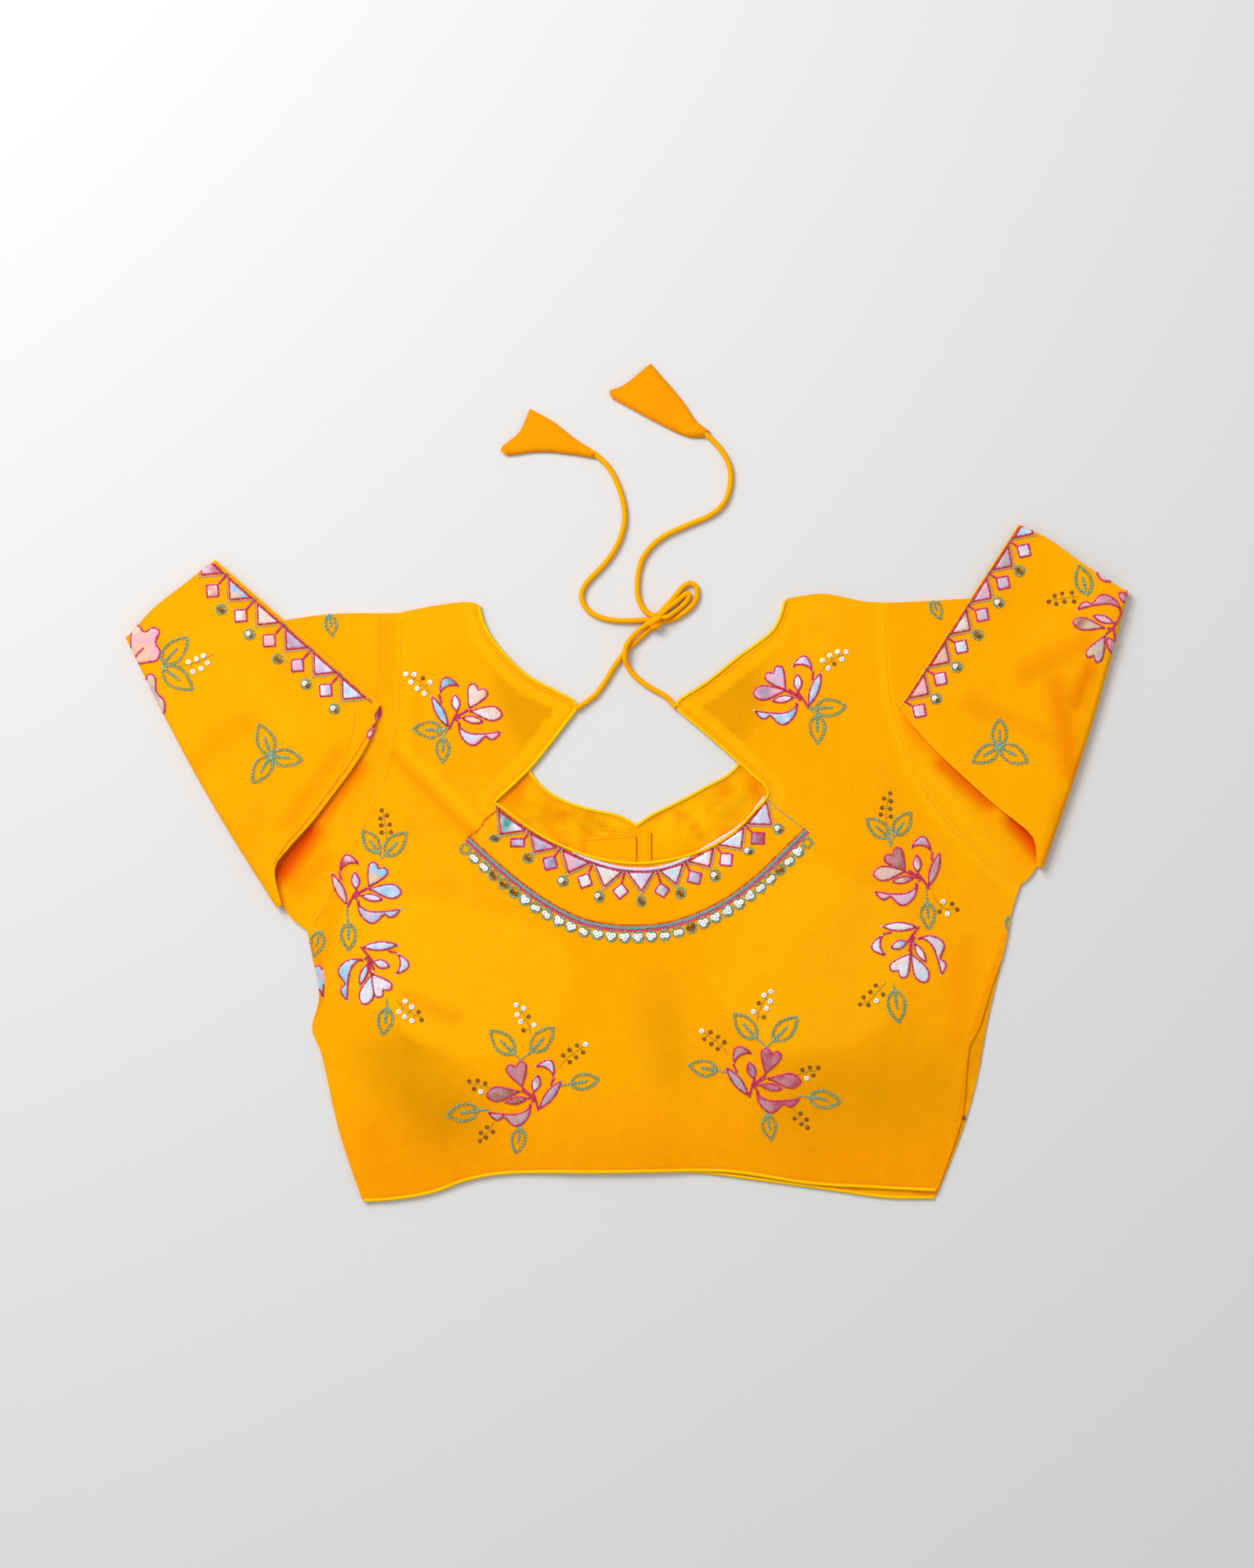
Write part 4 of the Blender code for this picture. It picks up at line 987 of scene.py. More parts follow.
@dataclass
class Dori:
    """The tied cord of the back neck, with its knot and its two cloth tassels."""

    materials: dict[str, Finish]
    radius: float = CORD_RADIUS
    relaxing: int = 5

    def strand(self, name: str, route: Sequence[Spot]) -> tuple[Piece, float]:
        """Draws one cord along its route.

        Args:
            name: The piece's name.
            route: Points of its middle line.

        Returns:
            The curve object and its length in metres.
        """
        points = smooth(route, 1.3)
        for _ in range(self.relaxing):
            inner = [tuple((a + 2 * b + c) / 4 for a, b, c in zip(*near))
                     for near in zip(points, points[1:], points[2:])]
            points = [points[0]] + inner + [points[-1]]
        data = bpy.data.curves.new(name, "CURVE")
        data.dimensions = "3D"
        data.bevel_depth = self.radius * MM
        data.bevel_resolution = 3
        data.use_fill_caps = True
        line = data.splines.new("POLY")
        line.points.add(len(points) - 1)
        for spot, (x, y, z) in zip(line.points, points):
            spot.co = (x * MM, y * MM, z * MM, 1)
        length = sum((Vector(b) - Vector(a)).length for a, b in zip(points, points[1:])) * MM
        return new_object(name, data, self.materials["marigold_cord"]), length

    def knot(self) -> Piece:
        """Draws the knot: an egg-shaped lump with three strands that wind round it."""
        mesh = MeshData()
        across, along, high = KNOT_RADII
        rings = []
        for k in range(KNOT_ROWS + 1):
            tilt = math.pi * (k / KNOT_ROWS - 0.5)
            between = 0 < k < KNOT_ROWS
            ring = []
            for j in range(KNOT_SIDES if between else 1):
                angle = math.tau * j / KNOT_SIDES
                ridge = abs(math.cos(1.5 * angle + 2.2 * tilt)) ** 0.7
                groove = 0.66 + 0.38 * ridge
                size = math.cos(tilt) ** 0.8 * groove if between else 0.0
                x, y = turned(across * size * math.cos(angle), along * math.sin(tilt), KNOT_TURN)
                z = KNOT_CENTRE[2] + high * size * math.sin(angle)
                place = (KNOT_CENTRE[0] + x, KNOT_CENTRE[1] + y, max(z, FLOOR_CLEARANCE))
                # The orange share darkens the grooves between the strands: painted shade.
                ring.append(mesh.add(place, (x, y), (0.0, 0.0, 0.6 * (1 - ridge))))
            rings.append(ring)
        for a, b in zip(rings, rings[1:]):
            mesh.band(a, b)
        return mesh.build("dori_knot_wraps", self.materials["marigold_cord"], 80)

    def tassel(self, side: str) -> Piece:
        """Draws one flattened cone of cloth, open at its mouth."""
        sizes = TASSELS[side]
        mouth, outer, inner = (smooth(sizes[key], 3.0) for key in ("mouth", "outer", "inner"))
        loop = anticlockwise(sizes["neck"][1:] + inner[1:-1] + mouth[::-1] + outer[::-1][1:])

        def crown(x: float, y: float) -> float:
            """Gives how full the cone stands at a plan point."""
            away = min(away_from(x, y, line) for line in (outer, inner))
            near = ramp(1 - away_from(x, y, sizes["neck"]) / 20)
            return math.sqrt(1 - (1 - min(away / (5.0 - 3.6 * near), 1.0)) ** 2) * (1 + 0.35 * near)

        def top(x: float, y: float) -> float:
            """Gives the height of the upper face."""
            wave = 0.3 * noise.noise(Vector((x / 14, y / 14, 3.1)))
            return FLOOR_CLEARANCE + 1.8 + (TASSEL_HEIGHT - 1.7 + wave) * crown(x, y)

        return shell(f"tassel_cloth_{side}", loop, self.materials["tassel_cloth"], top,
                     TASSEL_WALL, 2.2)

    def build(self) -> None:
        low_middle, high_middle = LOW + 0.4, LOW + 2.8
        routes = {
            "left": (TIE_LEFT + [(19.2, 163.8, low_middle)] + BOW_OUTER + [(20.0, 163.4, low_middle)]
                     + TAIL_LEFT + [(-26.0, 278.6, LOW), (-33.0, 281.8, LOW)]),
            "right": (TIE_RIGHT + [(18.6, 165.2, high_middle)] + BOW_INNER + [(21.0, 166.6, high_middle)]
                      + TAIL_RIGHT + [(49.0, 293.6, LOW), (43.0, 298.6, LOW)]),
        }
        solids = {"left": ("dori_left", "dori_bow_outer", "dori_tail_left"),
                  "right": ("dori_right", "dori_bow_inner", "dori_tail_right")}
        knot = self.knot()
        settle(knot, "marigold_cord", "dori_knot")
        for side, route in routes.items():
            piece, length = self.strand(f"dori_cord_{side}", route)
            tassel = self.tassel(side)
            settle(tassel, "marigold_cord", f"tassel_{side}")
            settle(piece, "marigold_cord", *solids[side])
            tuple(c * MM for c in route[0])
            LOG.info("dori %s is %.3f m long", side, length)


# Body panels

@dataclass
class Body:
    """Back, fronts, placket, cups and their pipings."""

    materials: dict[str, Finish]
    grid: float = 3.1
    hidden_grid: float = 9.0
    facing: float = 10.0
    turn_in: float = 1.0

    def __post_init__(self) -> None:
        """Draws the outlines."""
        self.back = Pattern(BACK_EDGES, 4.0)
        self.neck = self.back.run("neck", PIPING)

    def back_tone_and_shade(self, x: float, y: float) -> Colour:
        """Gives the back's painted shade and highlight at a plan point, and where it shows darker or paler
        through its layers.
        """
        olive, pale, orange = shaded(x, y, BACK_SHADES)
        # Painted paler over the cups, for the pads showing through and the lifted cloth catching more light;
        # the olive shade between the layers stops at their edge
        cup = max(ramp(0.5 + signed_away(x, y, loop) / 9) for loop in CUP_LOOPS)
        olive *= 1 - cup
        pale = max(pale, 0.3 * cup)
        # Olive where the back lies in one layer beyond the front's neck: painted darkness of the ground
        # showing through; paler over the doubled facing
        if y > 26 and 30 < abs(x) < 112:
            from_neck = away_from(x, y, self.neck)
            front = FRONT_NECK_LEFT if x < 0 else FRONT_NECK_RIGHT
            single = ramp(0.5 + signed_away(x, y, front + [(0, 250)]) / 16)
            inside = ramp((from_neck - self.facing + 1.5) / 3)
            olive = max(olive, 0.5 * single * inside)
            pale = max(pale, 0.35 * (1 - inside) * ramp((from_neck - 2) / 2))
        for points in ARMHOLES.values():
            seam = away_from(x, y, points)
            pale = max(pale, 0.35 * ramp((9.5 - seam) / 2) * (1 if x > 0 else 0.4))
        return (olive, pale, orange)

    def add_piping(self, name: str, line: Line, height: Height, node: str) -> None:
        """Adds a round piping along a plan line.

        Args:
            name: The piece's name.
            line: Its middle line.
            height: Height of its middle.
            node: The solid it stands for.
        """
        mesh = MeshData()
        tube_along(mesh, [(x, y, height(x, y)) for x, y in line], PIPING_RADIUS, 8)
        settle(mesh.build(name, self.materials["lemon_piping"], 80), "lemon_piping", node)

    def build_back(self) -> None:
        """Builds the back with its pipings."""
        outline = self.back.outline()
        piece = shell("back_cloth", outline, self.materials["marigold_cotton"], back_top, 0.8,
                      self.grid, self.facing_rows(), self.back_tone_and_shade)
        settle(piece, "marigold_cotton", "back_panel")
        loop_area(outline) * MM * MM
        for name in ("neck", "hem"):
            line = self.back.run(name, PIPING_RADIUS)
            self.add_piping(f"{name}_cord_back", line, lambda x, y: back_under(x, y) + PIPING_RADIUS,
                            f"{name}_piping_back")

    def facing_rows(self) -> list[list[Plan]]:
        """Gives the lines where the neck facing and the single layer of cloth end."""
        rows = []
        for number in (6, 8, 11, 13):
            edge = smooth(BACK_EDGES[number].points, 3.0)
            rows += [offset_line(edge, self.facing + shift)[4:-4] for shift in (-1.5, 1.5)]
        return rows

    def build_fronts(self) -> None:
        """Builds both fronts and their pipings."""
        left = (
            Edge("armhole", 0.0, ARMHOLES["left"]), Edge("side", 0.0, FRONT_SIDE_LEFT),
            Edge("hem", TRIM_INSET, FRONT_HEM_LEFT), Edge("centre", 0.0, CENTRE_FRONT[::-1]),
            Edge("neck", TRIM_INSET, FRONT_NECK_LEFT), Edge("shoulder", 0.0, BACK_EDGES[-1].points))
        right = (
            Edge("centre", 0.0, CENTRE_FRONT), Edge("hem", TRIM_INSET, FRONT_HEM_RIGHT),
            Edge("side", 0.0, FRONT_SIDE_RIGHT), Edge("armhole", 0.0, ARMHOLES["right"][::-1]),
            Edge("shoulder", 0.0, BACK_EDGES[5].points), Edge("neck", TRIM_INSET, FRONT_NECK_RIGHT))
        for side, edges in (("left", left), ("right", right)):
            pattern = Pattern(edges, 6.0)
            outline = pattern.outline()

            def tone_and_shade(x: float, y: float) -> Colour:
                """Gives the front inside's painted shade and highlight, over random mottles of painted shade.
                """
                olive, pale, orange = shaded(x, y, FRONT_SHADES)
                # Random olive and orange mottles: painted shade of the front's small folds
                shade_drift = 0.06 + 0.4 * noise.noise(Vector((x / 15, y / 11, 9.1)))
                orange_shade_drift = 0.06 + 0.5 * noise.noise(Vector((x / 9, y / 6, 4.6)))
                return (min(max(olive, shade_drift, 0.0), 0.8), pale, min(max(orange, orange_shade_drift, 0.0), 0.8))

            piece = shell(f"front_cloth_{side}", outline, self.materials["front_inside"],
                          lambda x, y: WALL, 0.95, self.hidden_grid, self.front_rows(side), tone_and_shade)
            settle(piece, "marigold_cotton", f"front_{side}")
            wide, tall = extent(outline)
            loop_area(outline) * MM * MM
            for name in ("hem", "neck"):
                line = pattern.run(name, PIPING_RADIUS)
                if name == "neck":
                    line = self.to_centre(line)
                self.add_piping(f"{name}_cord_front_{side}", line, lambda x, y: PIPING_RADIUS,
                                f"{name}_piping_front_{side}")

    @staticmethod
    def to_centre(line: Line, reach: float = 1.7) -> list[Plan]:
        """Lengthens a neck line at its low end, where both pipings meet."""
        points = [Vector(p) for p in line]
        if points[0].y > points[-1].y:
            return list(line) + [tuple(points[-1] + reach * (points[-1] - points[-2]).normalized())]
        return [tuple(points[0] + reach * (points[0] - points[1]).normalized())] + list(line)

    @staticmethod
    def front_rows(side: str) -> list[list[Plan]]:
        """Gives close lines that refine the front where it shows in the neck."""
        line = FRONT_NECK_LEFT[:5] if side == "left" else FRONT_NECK_RIGHT[3:]
        edge = smooth(line, 3.5)
        return [offset_line(edge, depth)[4:-4] for depth in (5.5, 8.5, 11.5, 14.5, 17.5, 20.5, 24, 28)]

    def build_placket(self) -> None:
        """Builds the hook underlap and the eye strip."""
        for name, (left, right, top) in (("placket_underlap", UNDERLAP), ("placket_eye_strip", EYE_STRIP)):
            loop = smooth([(left, PLACKET_FOOT), (right, PLACKET_FOOT)], 6) + smooth(
                [(right, top), (left, top)], 6)
            piece = shell(f"{name}_cloth", loop, self.materials["marigold_cotton"],
                          lambda x, y: BACK_UNDER + WALL, WALL, self.hidden_grid)
            settle(piece, "marigold_cotton", name)

    def build_cups(self) -> None:
        """Builds the two thin pads."""
        for side, (x, y, across, along) in CUPS.items():
            mesh = MeshData()

            def ring(share: float, z: float) -> list[int]:
                """Adds one ring of the pad, or its middle."""
                wide, tall = across * share, along * share
                spots = round_loop(x, y, wide, tall, CUP_SIDES) if share > 1e-6 else [(x, y)]
                return [mesh.add((*spot, BACK_UNDER + z), (x, y)) for spot in spots]

            tilts = [0.5 * math.pi * k / (CUP_RINGS - 1) for k in range(CUP_RINGS)]
            dome = [ring(math.cos(tilt), CUP_THICKNESS * math.sin(tilt)) for tilt in tilts]
            base = dome[:1] + [ring(1 - k / (CUP_RINGS - 1), 0.0) for k in range(1, CUP_RINGS)]
            for a, b in (*zip(dome, dome[1:]), *zip(base, base[1:])):
                mesh.band(a, b)
            piece = mesh.build(f"cup_cloth_{side}", self.materials["pad_cloth"])
            settle(piece, "pad_cloth", f"cup_pad_{side}")

    def build(self) -> None:
        """Builds every body panel."""
        self.build_fronts()
        self.build_placket()
        self.build_cups()
        self.build_back()


# Sleeves

class SleeveFold:
    """Rolls a sleeve's flat pattern over the line where it is folded back."""

    def __init__(self, plan: SleevePlan) -> None:
        """Finds the fold's frame."""
        self.plan = plan
        self.height = 2 * WALL + SEAM
        self.roll = math.pi * (FOLD_CENTRE - self.height / 2)
        top, bottom = Vector(plan.fold_top), Vector(plan.fold_bottom)
        self.along = (bottom - top).normalized()
        self.out = Vector((self.along.y, -self.along.x))
        if self.out.x * plan.side < 0:
            self.out = -self.out
        self.origin = top - self.out * FOLD_CENTRE
        self.length = (bottom - top).length

    def pattern(self, point: Plan, folded: bool) -> Plan:
        """Gives pattern coordinates of a plan point on the lower or the folded part."""
        away = Vector(point) - self.origin
        s = away.dot(self.out)
        return (away.dot(self.along), self.roll - s if folded else s)

    def place(self, u: float, s: float, level: float) -> Spot:
        """Gives where a pattern point lies, at a height above the sleeve's lower face."""
        if s <= 0:
            offset, z, past = s, level, -s
        elif s < self.roll:
            angle = math.pi * s / self.roll
            radius = FOLD_CENTRE - level
            offset, z, past = radius * math.sin(angle), FOLD_CENTRE - radius * math.cos(angle), 0.0
        else:
            past = s - self.roll
            offset = -past
            z = 2 * FOLD_CENTRE - level - FOLDED_DROP * ramp(past / FOLD_RELAX)
        bulge = math.sin(math.pi * min(max(u / self.length, 0.0), 1.0)) * ramp(1 - past / FOLD_RELAX)
        offset += self.plan.bow * bulge
        spot = self.origin + self.along * u + self.out * offset
        return (spot.x, spot.y, z)


def joined(near: list, far: list, edge_a: list, edge_b: list) -> list[Plan]:
    """Joins the four sides of a tube's pattern into its outline."""
    return near[:-1] + edge_b[:-1] + far[::-1][:-1] + edge_a[::-1][:-1]


def oriented(near: list, far: list, edge_a: list, edge_b: list) -> tuple[list, list, list, list]:
    """Puts the four sides in the order that makes their outline anticlockwise."""
    if loop_area(joined(near, far, edge_a, edge_b)) > 0:
        return near, far, edge_a, edge_b
    return near[::-1], far[::-1], edge_b, edge_a


@dataclass
class Tube:
    """A flattened cloth tube, open at both ends, from its flat pattern."""

    near: list[Plan]
    far: list[Plan]
    edge_a: list[Plan]
    edge_b: list[Plan]
    place: Callable[[float, float, float], Spot]
    height: float
    rows: list[list[Plan]] = field(default_factory=list)
    wall: float = 0.8
    shown: float = 5.0
    hidden: float = 24.0

    def build(self, name: str, material: Finish,
              tone_and_shade: Callable[[float, float, float], Colour] | None = None) -> Piece:
        """Makes the tube.

        Args:
            name: The piece's name.
            material: Its finish.
            tone_and_shade: Painted shade, highlight and see-through shares at a pattern point and level.

        Returns:
            The finished piece.
        """
        outline = joined(self.near, self.far, self.edge_a, self.edge_b)
        kinds = [kind for kind, side in (("open", self.near), ("fold", self.edge_b), ("open", self.far),
                                         ("fold", self.edge_a)) for _ in side[1:]]
        inner = inset_loop(outline, [self.wall if kind == "fold" else 0.0 for kind in kinds])
        rows_inner = []
        for row in self.rows:
            first, last = outline.index(row[0]), outline.index(row[-1])
            rows_inner.append([inner[first], *row[1:-1], inner[last]])
        mesh = MeshData()
        rims = []
        for loop, lines, level, grid in (
            (outline, self.rows, 0.0, self.shown), (inner, rows_inner, self.wall, self.hidden),
            (inner, rows_inner, self.height - self.wall, self.hidden),
            (outline, self.rows, self.height, 6.0),
        ):
            filled = fill_region(loop, lines, grid)
            made = {}
            for k in sorted({k for face in filled.triangles for k in face}):
                u, s = filled.points[k]
                made[k] = mesh.add(self.place(u, s, level), (u, s), tone_and_shade(u, s, level) if tone_and_shade else (0, 0, 0))
            mesh.faces += [tuple(made[k] for k in face) for face in filled.triangles]
            rims.append({s: made[k] for k in made for s in filled.sources[k] if s < len(loop)})
        low_out, low_in, high_in, high_out = rims
        count = len(outline)
        for k, kind in enumerate(kinds):
            j = (k + 1) % count
            joins = ((low_out, high_out), (low_in, high_in)) if kind == "fold" else (
                (low_out, low_in), (high_out, high_in))
            for a, b in joins:
                mesh.faces.append((a[k], a[j], b[j], b[k]))
            if kinds[k - 1] != kind:
                mesh.faces.append((low_out[k], high_out[k], high_in[k], low_in[k]))
        return mesh.build(name, material)


@dataclass
class Sleeve:
    """One sleeve folded back over itself, with its cuff piping."""

    side: str
    materials: dict[str, Finish]
    step: float = 5.0

    def __post_init__(self) -> None:
        """Lays the sleeve's sides out flat."""
        self.plan = SLEEVES[self.side]
        self.fold = SleeveFold(self.plan)
        fold, plan, step = self.fold, self.plan, self.step
        armhole = smooth(plan.armhole, step)
        self.near = [fold.pattern(point, False) for point in armhole]
        self.levels = [fold.roll * k / 8 for k in range(9)]
        self.edge_a = self.edge(plan.top_to_fold, plan.top_after, 0.0)
        self.edge_b = self.edge(plan.under_to_fold, plan.under_after, fold.length)
        self.far = smooth([self.edge_a[-1], self.edge_b[-1]], step)
        self.rows = []
        count = round(fold.length / step)
        for level in self.levels:
            inner = [(fold.length * k / count, level) for k in range(1, count)]
            self.rows.append([(0.0, level)] + inner + [(fold.length, level)])

    def edge(self, before: Line, after: Line, fold_u: float) -> list[Plan]:
        """Gives one long side in pattern coordinates.

        Args:
            before: Plan points up to the fold.
            after: Plan points past the fold.
            fold_u: Where the side meets the fold.

        Returns:
            The side from the armhole to the cuff.
        """
        start = self.near[0] if before[0] == self.plan.top_to_fold[0] else self.near[-1]
        lead = [self.fold.pattern(p, False) for p in before[1:]]
        before_fold = smooth([start, *lead, (fold_u, 0.0)], self.step)
        rolled = [(fold_u, level) for level in self.levels]
        tail = smooth([(fold_u, self.fold.roll)] + [self.fold.pattern(p, True) for p in after], self.step)
        return before_fold[:-1] + rolled + tail[1:]

    def place(self, u: float, s: float, level: float) -> Spot:
        """Gives where a pattern point lies, with the soft waves of its folded part."""
        x, y, z = self.fold.place(u, s, level)
        past = ramp((s - self.fold.roll) / 40)
        wave = 0.5 + 0.5 * noise.noise(Vector((x / 38, y / 38, 4.4 * self.plan.side)))
        height = 1.1 * wave
        for line in SLEEVE_CREASES:
            height += line.height * ramp(1 - away_row(x, y, line) / line.half_width)
        return (x, y, z + height * past)

    def tone_and_shade(self, u: float, s: float, level: float) -> Colour:
        """Gives the painted shade and highlight of the cloth at a pattern point."""
        x, y, _ = self.fold.place(u, s, level)
        return shaded(x, y, SLEEVE_SHADES[s > 0.5 * self.fold.roll])

    def build(self) -> None:
        """Builds the sleeve and its cuff piping."""
        far = self.far
        outward = Vector((far[0][0] - far[-1][0], far[0][1] - far[-1][1])).normalized()
        normal = Vector((outward.y, -outward.x))
        normal = -normal if normal.y < 0 else normal
        hem = [(u - normal.x * TRIM_INSET, s - normal.y * TRIM_INSET) for u, s in far]
        sides = oriented(self.near, hem, self.edge_a[:-1] + [hem[0]], self.edge_b[:-1] + [hem[-1]])
        rows = self.rows if sides[0] is self.near else [row[::-1] for row in self.rows]
        area = 2 * abs(loop_area(self.near + self.edge_b[1:] + hem[::-1] + self.edge_a[::-1][1:]))
        piece = Tube(*sides, self.place, self.fold.height, rows).build(
            f"sleeve_cloth_{self.side}", self.materials["marigold_cotton"], self.tone_and_shade)
        settle(piece, "marigold_cotton", f"sleeve_{self.side}")
        wide, tall = extent(self.near + self.edge_a + self.edge_b)
        start = [(u - normal.x * PIPING, s - normal.y * PIPING) for u, s in far]
        trim = oriented(start, far, [start[0], far[0]], [start[-1], far[-1]])
        piping = Tube(*trim, self.place, self.fold.height).build(
            f"cuff_cord_{self.side}", self.materials["lemon_piping"])
        settle(piping, "lemon_piping", f"cuff_piping_{self.side}")


# Embroidery

class Satin(Enum):
    """Colours of the satin that the patches are cut from."""

    WHITE = srgb(240, 236, 244)
    IVORY = srgb(240, 226, 216)
    LAVENDER = srgb(206, 186, 222)
    MAUVE = srgb(176, 140, 172)
    GREY = srgb(186, 168, 172)
    PINK = srgb(244, 176, 196)
    ROSE = srgb(206, 118, 128)
    CRIMSON = srgb(186, 52, 84)
    BROWN = srgb(168, 96, 62)
    BEIGE = srgb(226, 196, 160)
    PEACH = srgb(250, 190, 150)
    CORAL = srgb(240, 112, 84)
    SKY = srgb(136, 200, 236)
    PALE_BLUE = srgb(206, 224, 244)
    TEAL = srgb(14, 150, 146)
    VIOLET = srgb(150, 130, 196)
    DUSTY = srgb(196, 130, 138)


def satin_pairs(names: str) -> list[tuple[Satin, Satin]]:
    """Gives pairs of satin colours from their names."""
    return [tuple(Satin[name] for name in pair.split()) for pair in names.split(",")]


# Two satin colours for each petal, in the order of PETALS
PETAL_SATINS = {
    "low_left":
        "DUSTY ROSE, WHITE LAVENDER, WHITE GREY, GREY MAUVE, DUSTY BROWN, BROWN ROSE, GREY DUSTY",
    "low_right": (
        "CRIMSON DUSTY, GREY ROSE, CRIMSON MAUVE, MAUVE GREY, ROSE CRIMSON, CRIMSON ROSE, "
        "DUSTY CRIMSON"),
    "high_left": (
        "IVORY PEACH, SKY TEAL, PALE_BLUE WHITE, PALE_BLUE SKY, WHITE PEACH, WHITE PEACH, "
        "PALE_BLUE PINK"),
    "high_right": (
        "PINK LAVENDER, WHITE LAVENDER, LAVENDER WHITE, SKY PALE_BLUE, MAUVE PINK, PINK WHITE, "
        "PALE_BLUE SKY"),
    "side_left_upper": (
        "BEIGE SKY, CRIMSON PINK, WHITE LAVENDER, BEIGE LAVENDER, SKY PALE_BLUE, LAVENDER WHITE, "
        "PINK SKY"),
    "side_left_lower": (
        "WHITE PINK, WHITE PALE_BLUE, WHITE LAVENDER, WHITE SKY, WHITE PALE_BLUE, SKY PALE_BLUE, "
        "SKY PALE_BLUE"),
    "side_right_upper":
        "ROSE BROWN, LAVENDER ROSE, IVORY ROSE, GREY ROSE, PINK BEIGE, BEIGE ROSE, PINK LAVENDER",
    "side_right_lower": (
        "IVORY WHITE, WHITE PALE_BLUE, IVORY SKY, WHITE IVORY, IVORY PALE_BLUE, WHITE IVORY, "
        "IVORY LAVENDER"),
}

# Petals by the folded edges and side edges: kind, root, bearing, length, width, colours
LONE_PETALS = (
    ("clover", -324, 135, 90, 26, 21, "PEACH PINK"), ("clover", -317, 98, 109, 32, 19, "GREY BEIGE"),
    ("scallop", 333.8, 169.2, 178, 31, -10, "PINK ROSE"),
    ("drop", 324.1, 158.3, 169, 24.6, 9.5, "BROWN BEIGE"),
    ("leaf", 328.9, 161.9, 161, 16.7, 6, "PINK WHITE"),
    ("heart", 322.8, 154.6, 241, 20.5, 13, "BEIGE GREY"),
    ("leaf", 323.5, 153, -61, 16, 8, "ROSE PINK"), ("leaf", 339, 175, 134, 11.5, 6.5, "PINK ROSE"),
    ("leaf", 327, 189.5, 147, 13.5, 6.5, "PINK PEACH"), ("drop", -205.5, -92, 100, 24, 9, "SKY PINK"),
    ("leaf", -166.4, 105, 250, 10, 4.6, "PINK CRIMSON"), ("drop", -170, 95, 247, 12, 5, "PINK WHITE"))

# Stems of these petals: their meeting point, the ends round it, and the clover's own
LONE_MIDDLE = (327.5, 158.5)
LONE_STEM_ENDS = ((333.8, 169.2), (324.1, 158.3), (328.9, 161.9), (322.8, 154.6), (330, 148))
CLOVER_STEM = ((-332.5, 138.5), (-326, 145))

# Leaves from base to tip, sequins and thread stems, about the low left flower's middle
LOW_LEAVES = ((-14.4, 30.4, -30.4, 46.5), (-2.5, 32.1, 12.3, 48.6), (23.7, 10.1, 43.1, 13.5),
              (-38.4, -7.6, -60, -11.4), (-10.1, -19.9, -13.1, -37.2))
LOW_STEMS = (((-14.4, 30.4), (-9.7, 26.2)), ((-2.5, 32.1), (-9.7, 26.2)), ((23.7, 10.1), (18, 9)),
             ((-38.4, -7.6), (-32, -7.4)), ((-10.1, -19.9), (-8.6, -16.5)))
LOW_WHITE = ((-12.7, 63.4), (-7.9, 61), (-12.1, 56.8), (-9.7, 52.1), (-0.8, 49.9), (34, 36.7), (-36.8, 4.8))
LOW_BROWN = ((-4.5, 55.6), (-7.9, 46.3), (28.1, 36.1), (23.1, 33), (18.8, 29.4), (32.3, 31.4), (27.6, 28.1),
             (23.3, 24.8), (-44.6, 12), (-38.9, 12.2), (-33.8, 10.6), (-41.4, 6.9), (-32.7, -19),
             (-28.7, -22.4), (-36.8, -23), (-33.2, -26.2), (-37.4, -28.5))
LOW_SPRAYS = (((-3.2, 43.5), (-4.4, 50), (-8.5, 58), (-11, 63)), ((16.2, 21), (20, 26), (26, 31), (31.5, 35)),
              ((-30.6, 7.2), (-34.5, 8.6), (-40, 9.9), (-44, 10.4)),
              ((-28, -16), (-31, -20.5), (-34.5, -25), (-37, -28)))

OTHER_LEAVES = (
    (-124.4, 89.5, -144.7, 90.9), (-124.4, 84.7, -124.7, 67.9), (126.8, 104.5, 148.4, 105.9),
    (128.2, 100.2, 128.8, 80.7), (-167.6, 7.4, -178.8, 22.1), (-163.6, 5.4, -148.9, 21.1),
    (-188.4, -40.2, -187.9, -59.0), (-161.7, -97.5, -165.1, -115.8), (176.6, 17.8, 161.5, 30.3),
    (180.4, 18.9, 191.8, 34.6), (202.6, -26.5, 203.7, -44.4), (180.4, -85.5, 183.7, -107.6))
OTHER_STEMS = (
    ((-124.4, 89.5), (-120, 93)), ((-124.4, 84.7), (-120.5, 92)), ((126.8, 104.5), (122, 106)),
    ((128.2, 100.2), (123, 105)), ((-167.6, 7.4), (-166, 3)), ((-163.6, 5.4), (-166, 3)),
    ((-188.9, -28), (-188.9, -34.1), (-188.4, -40.2)), ((-161.7, -97.5), (-162.5, -92)),
    ((176.6, 17.8), (177.5, 12)), ((180.4, 18.9), (177.5, 12)), ((202.0, -14), (202.2, -20), (202.6, -26.5)),
    ((180.4, -85.5), (180, -81)))
OTHER_WHITE = (
    (-149.3, 127.7), (-143.7, 127.4), (-146.0, 122.3), (-133.1, 122.1), (-141.6, 118.0), (-136.9, 114.6),
    (142.2, 142.8), (148.1, 142.7), (137.0, 140.3), (145.2, 137.8), (132.1, 137.0), (136.0, 131.8),
    (-149.6, -93.2), (-145.3, -97.0), (-153.9, -100.2), (-150.0, -103.6), (-145.1, -106.3),
    (213.6, -26.0), (216.4, -34.1), (168.3, -92.7))
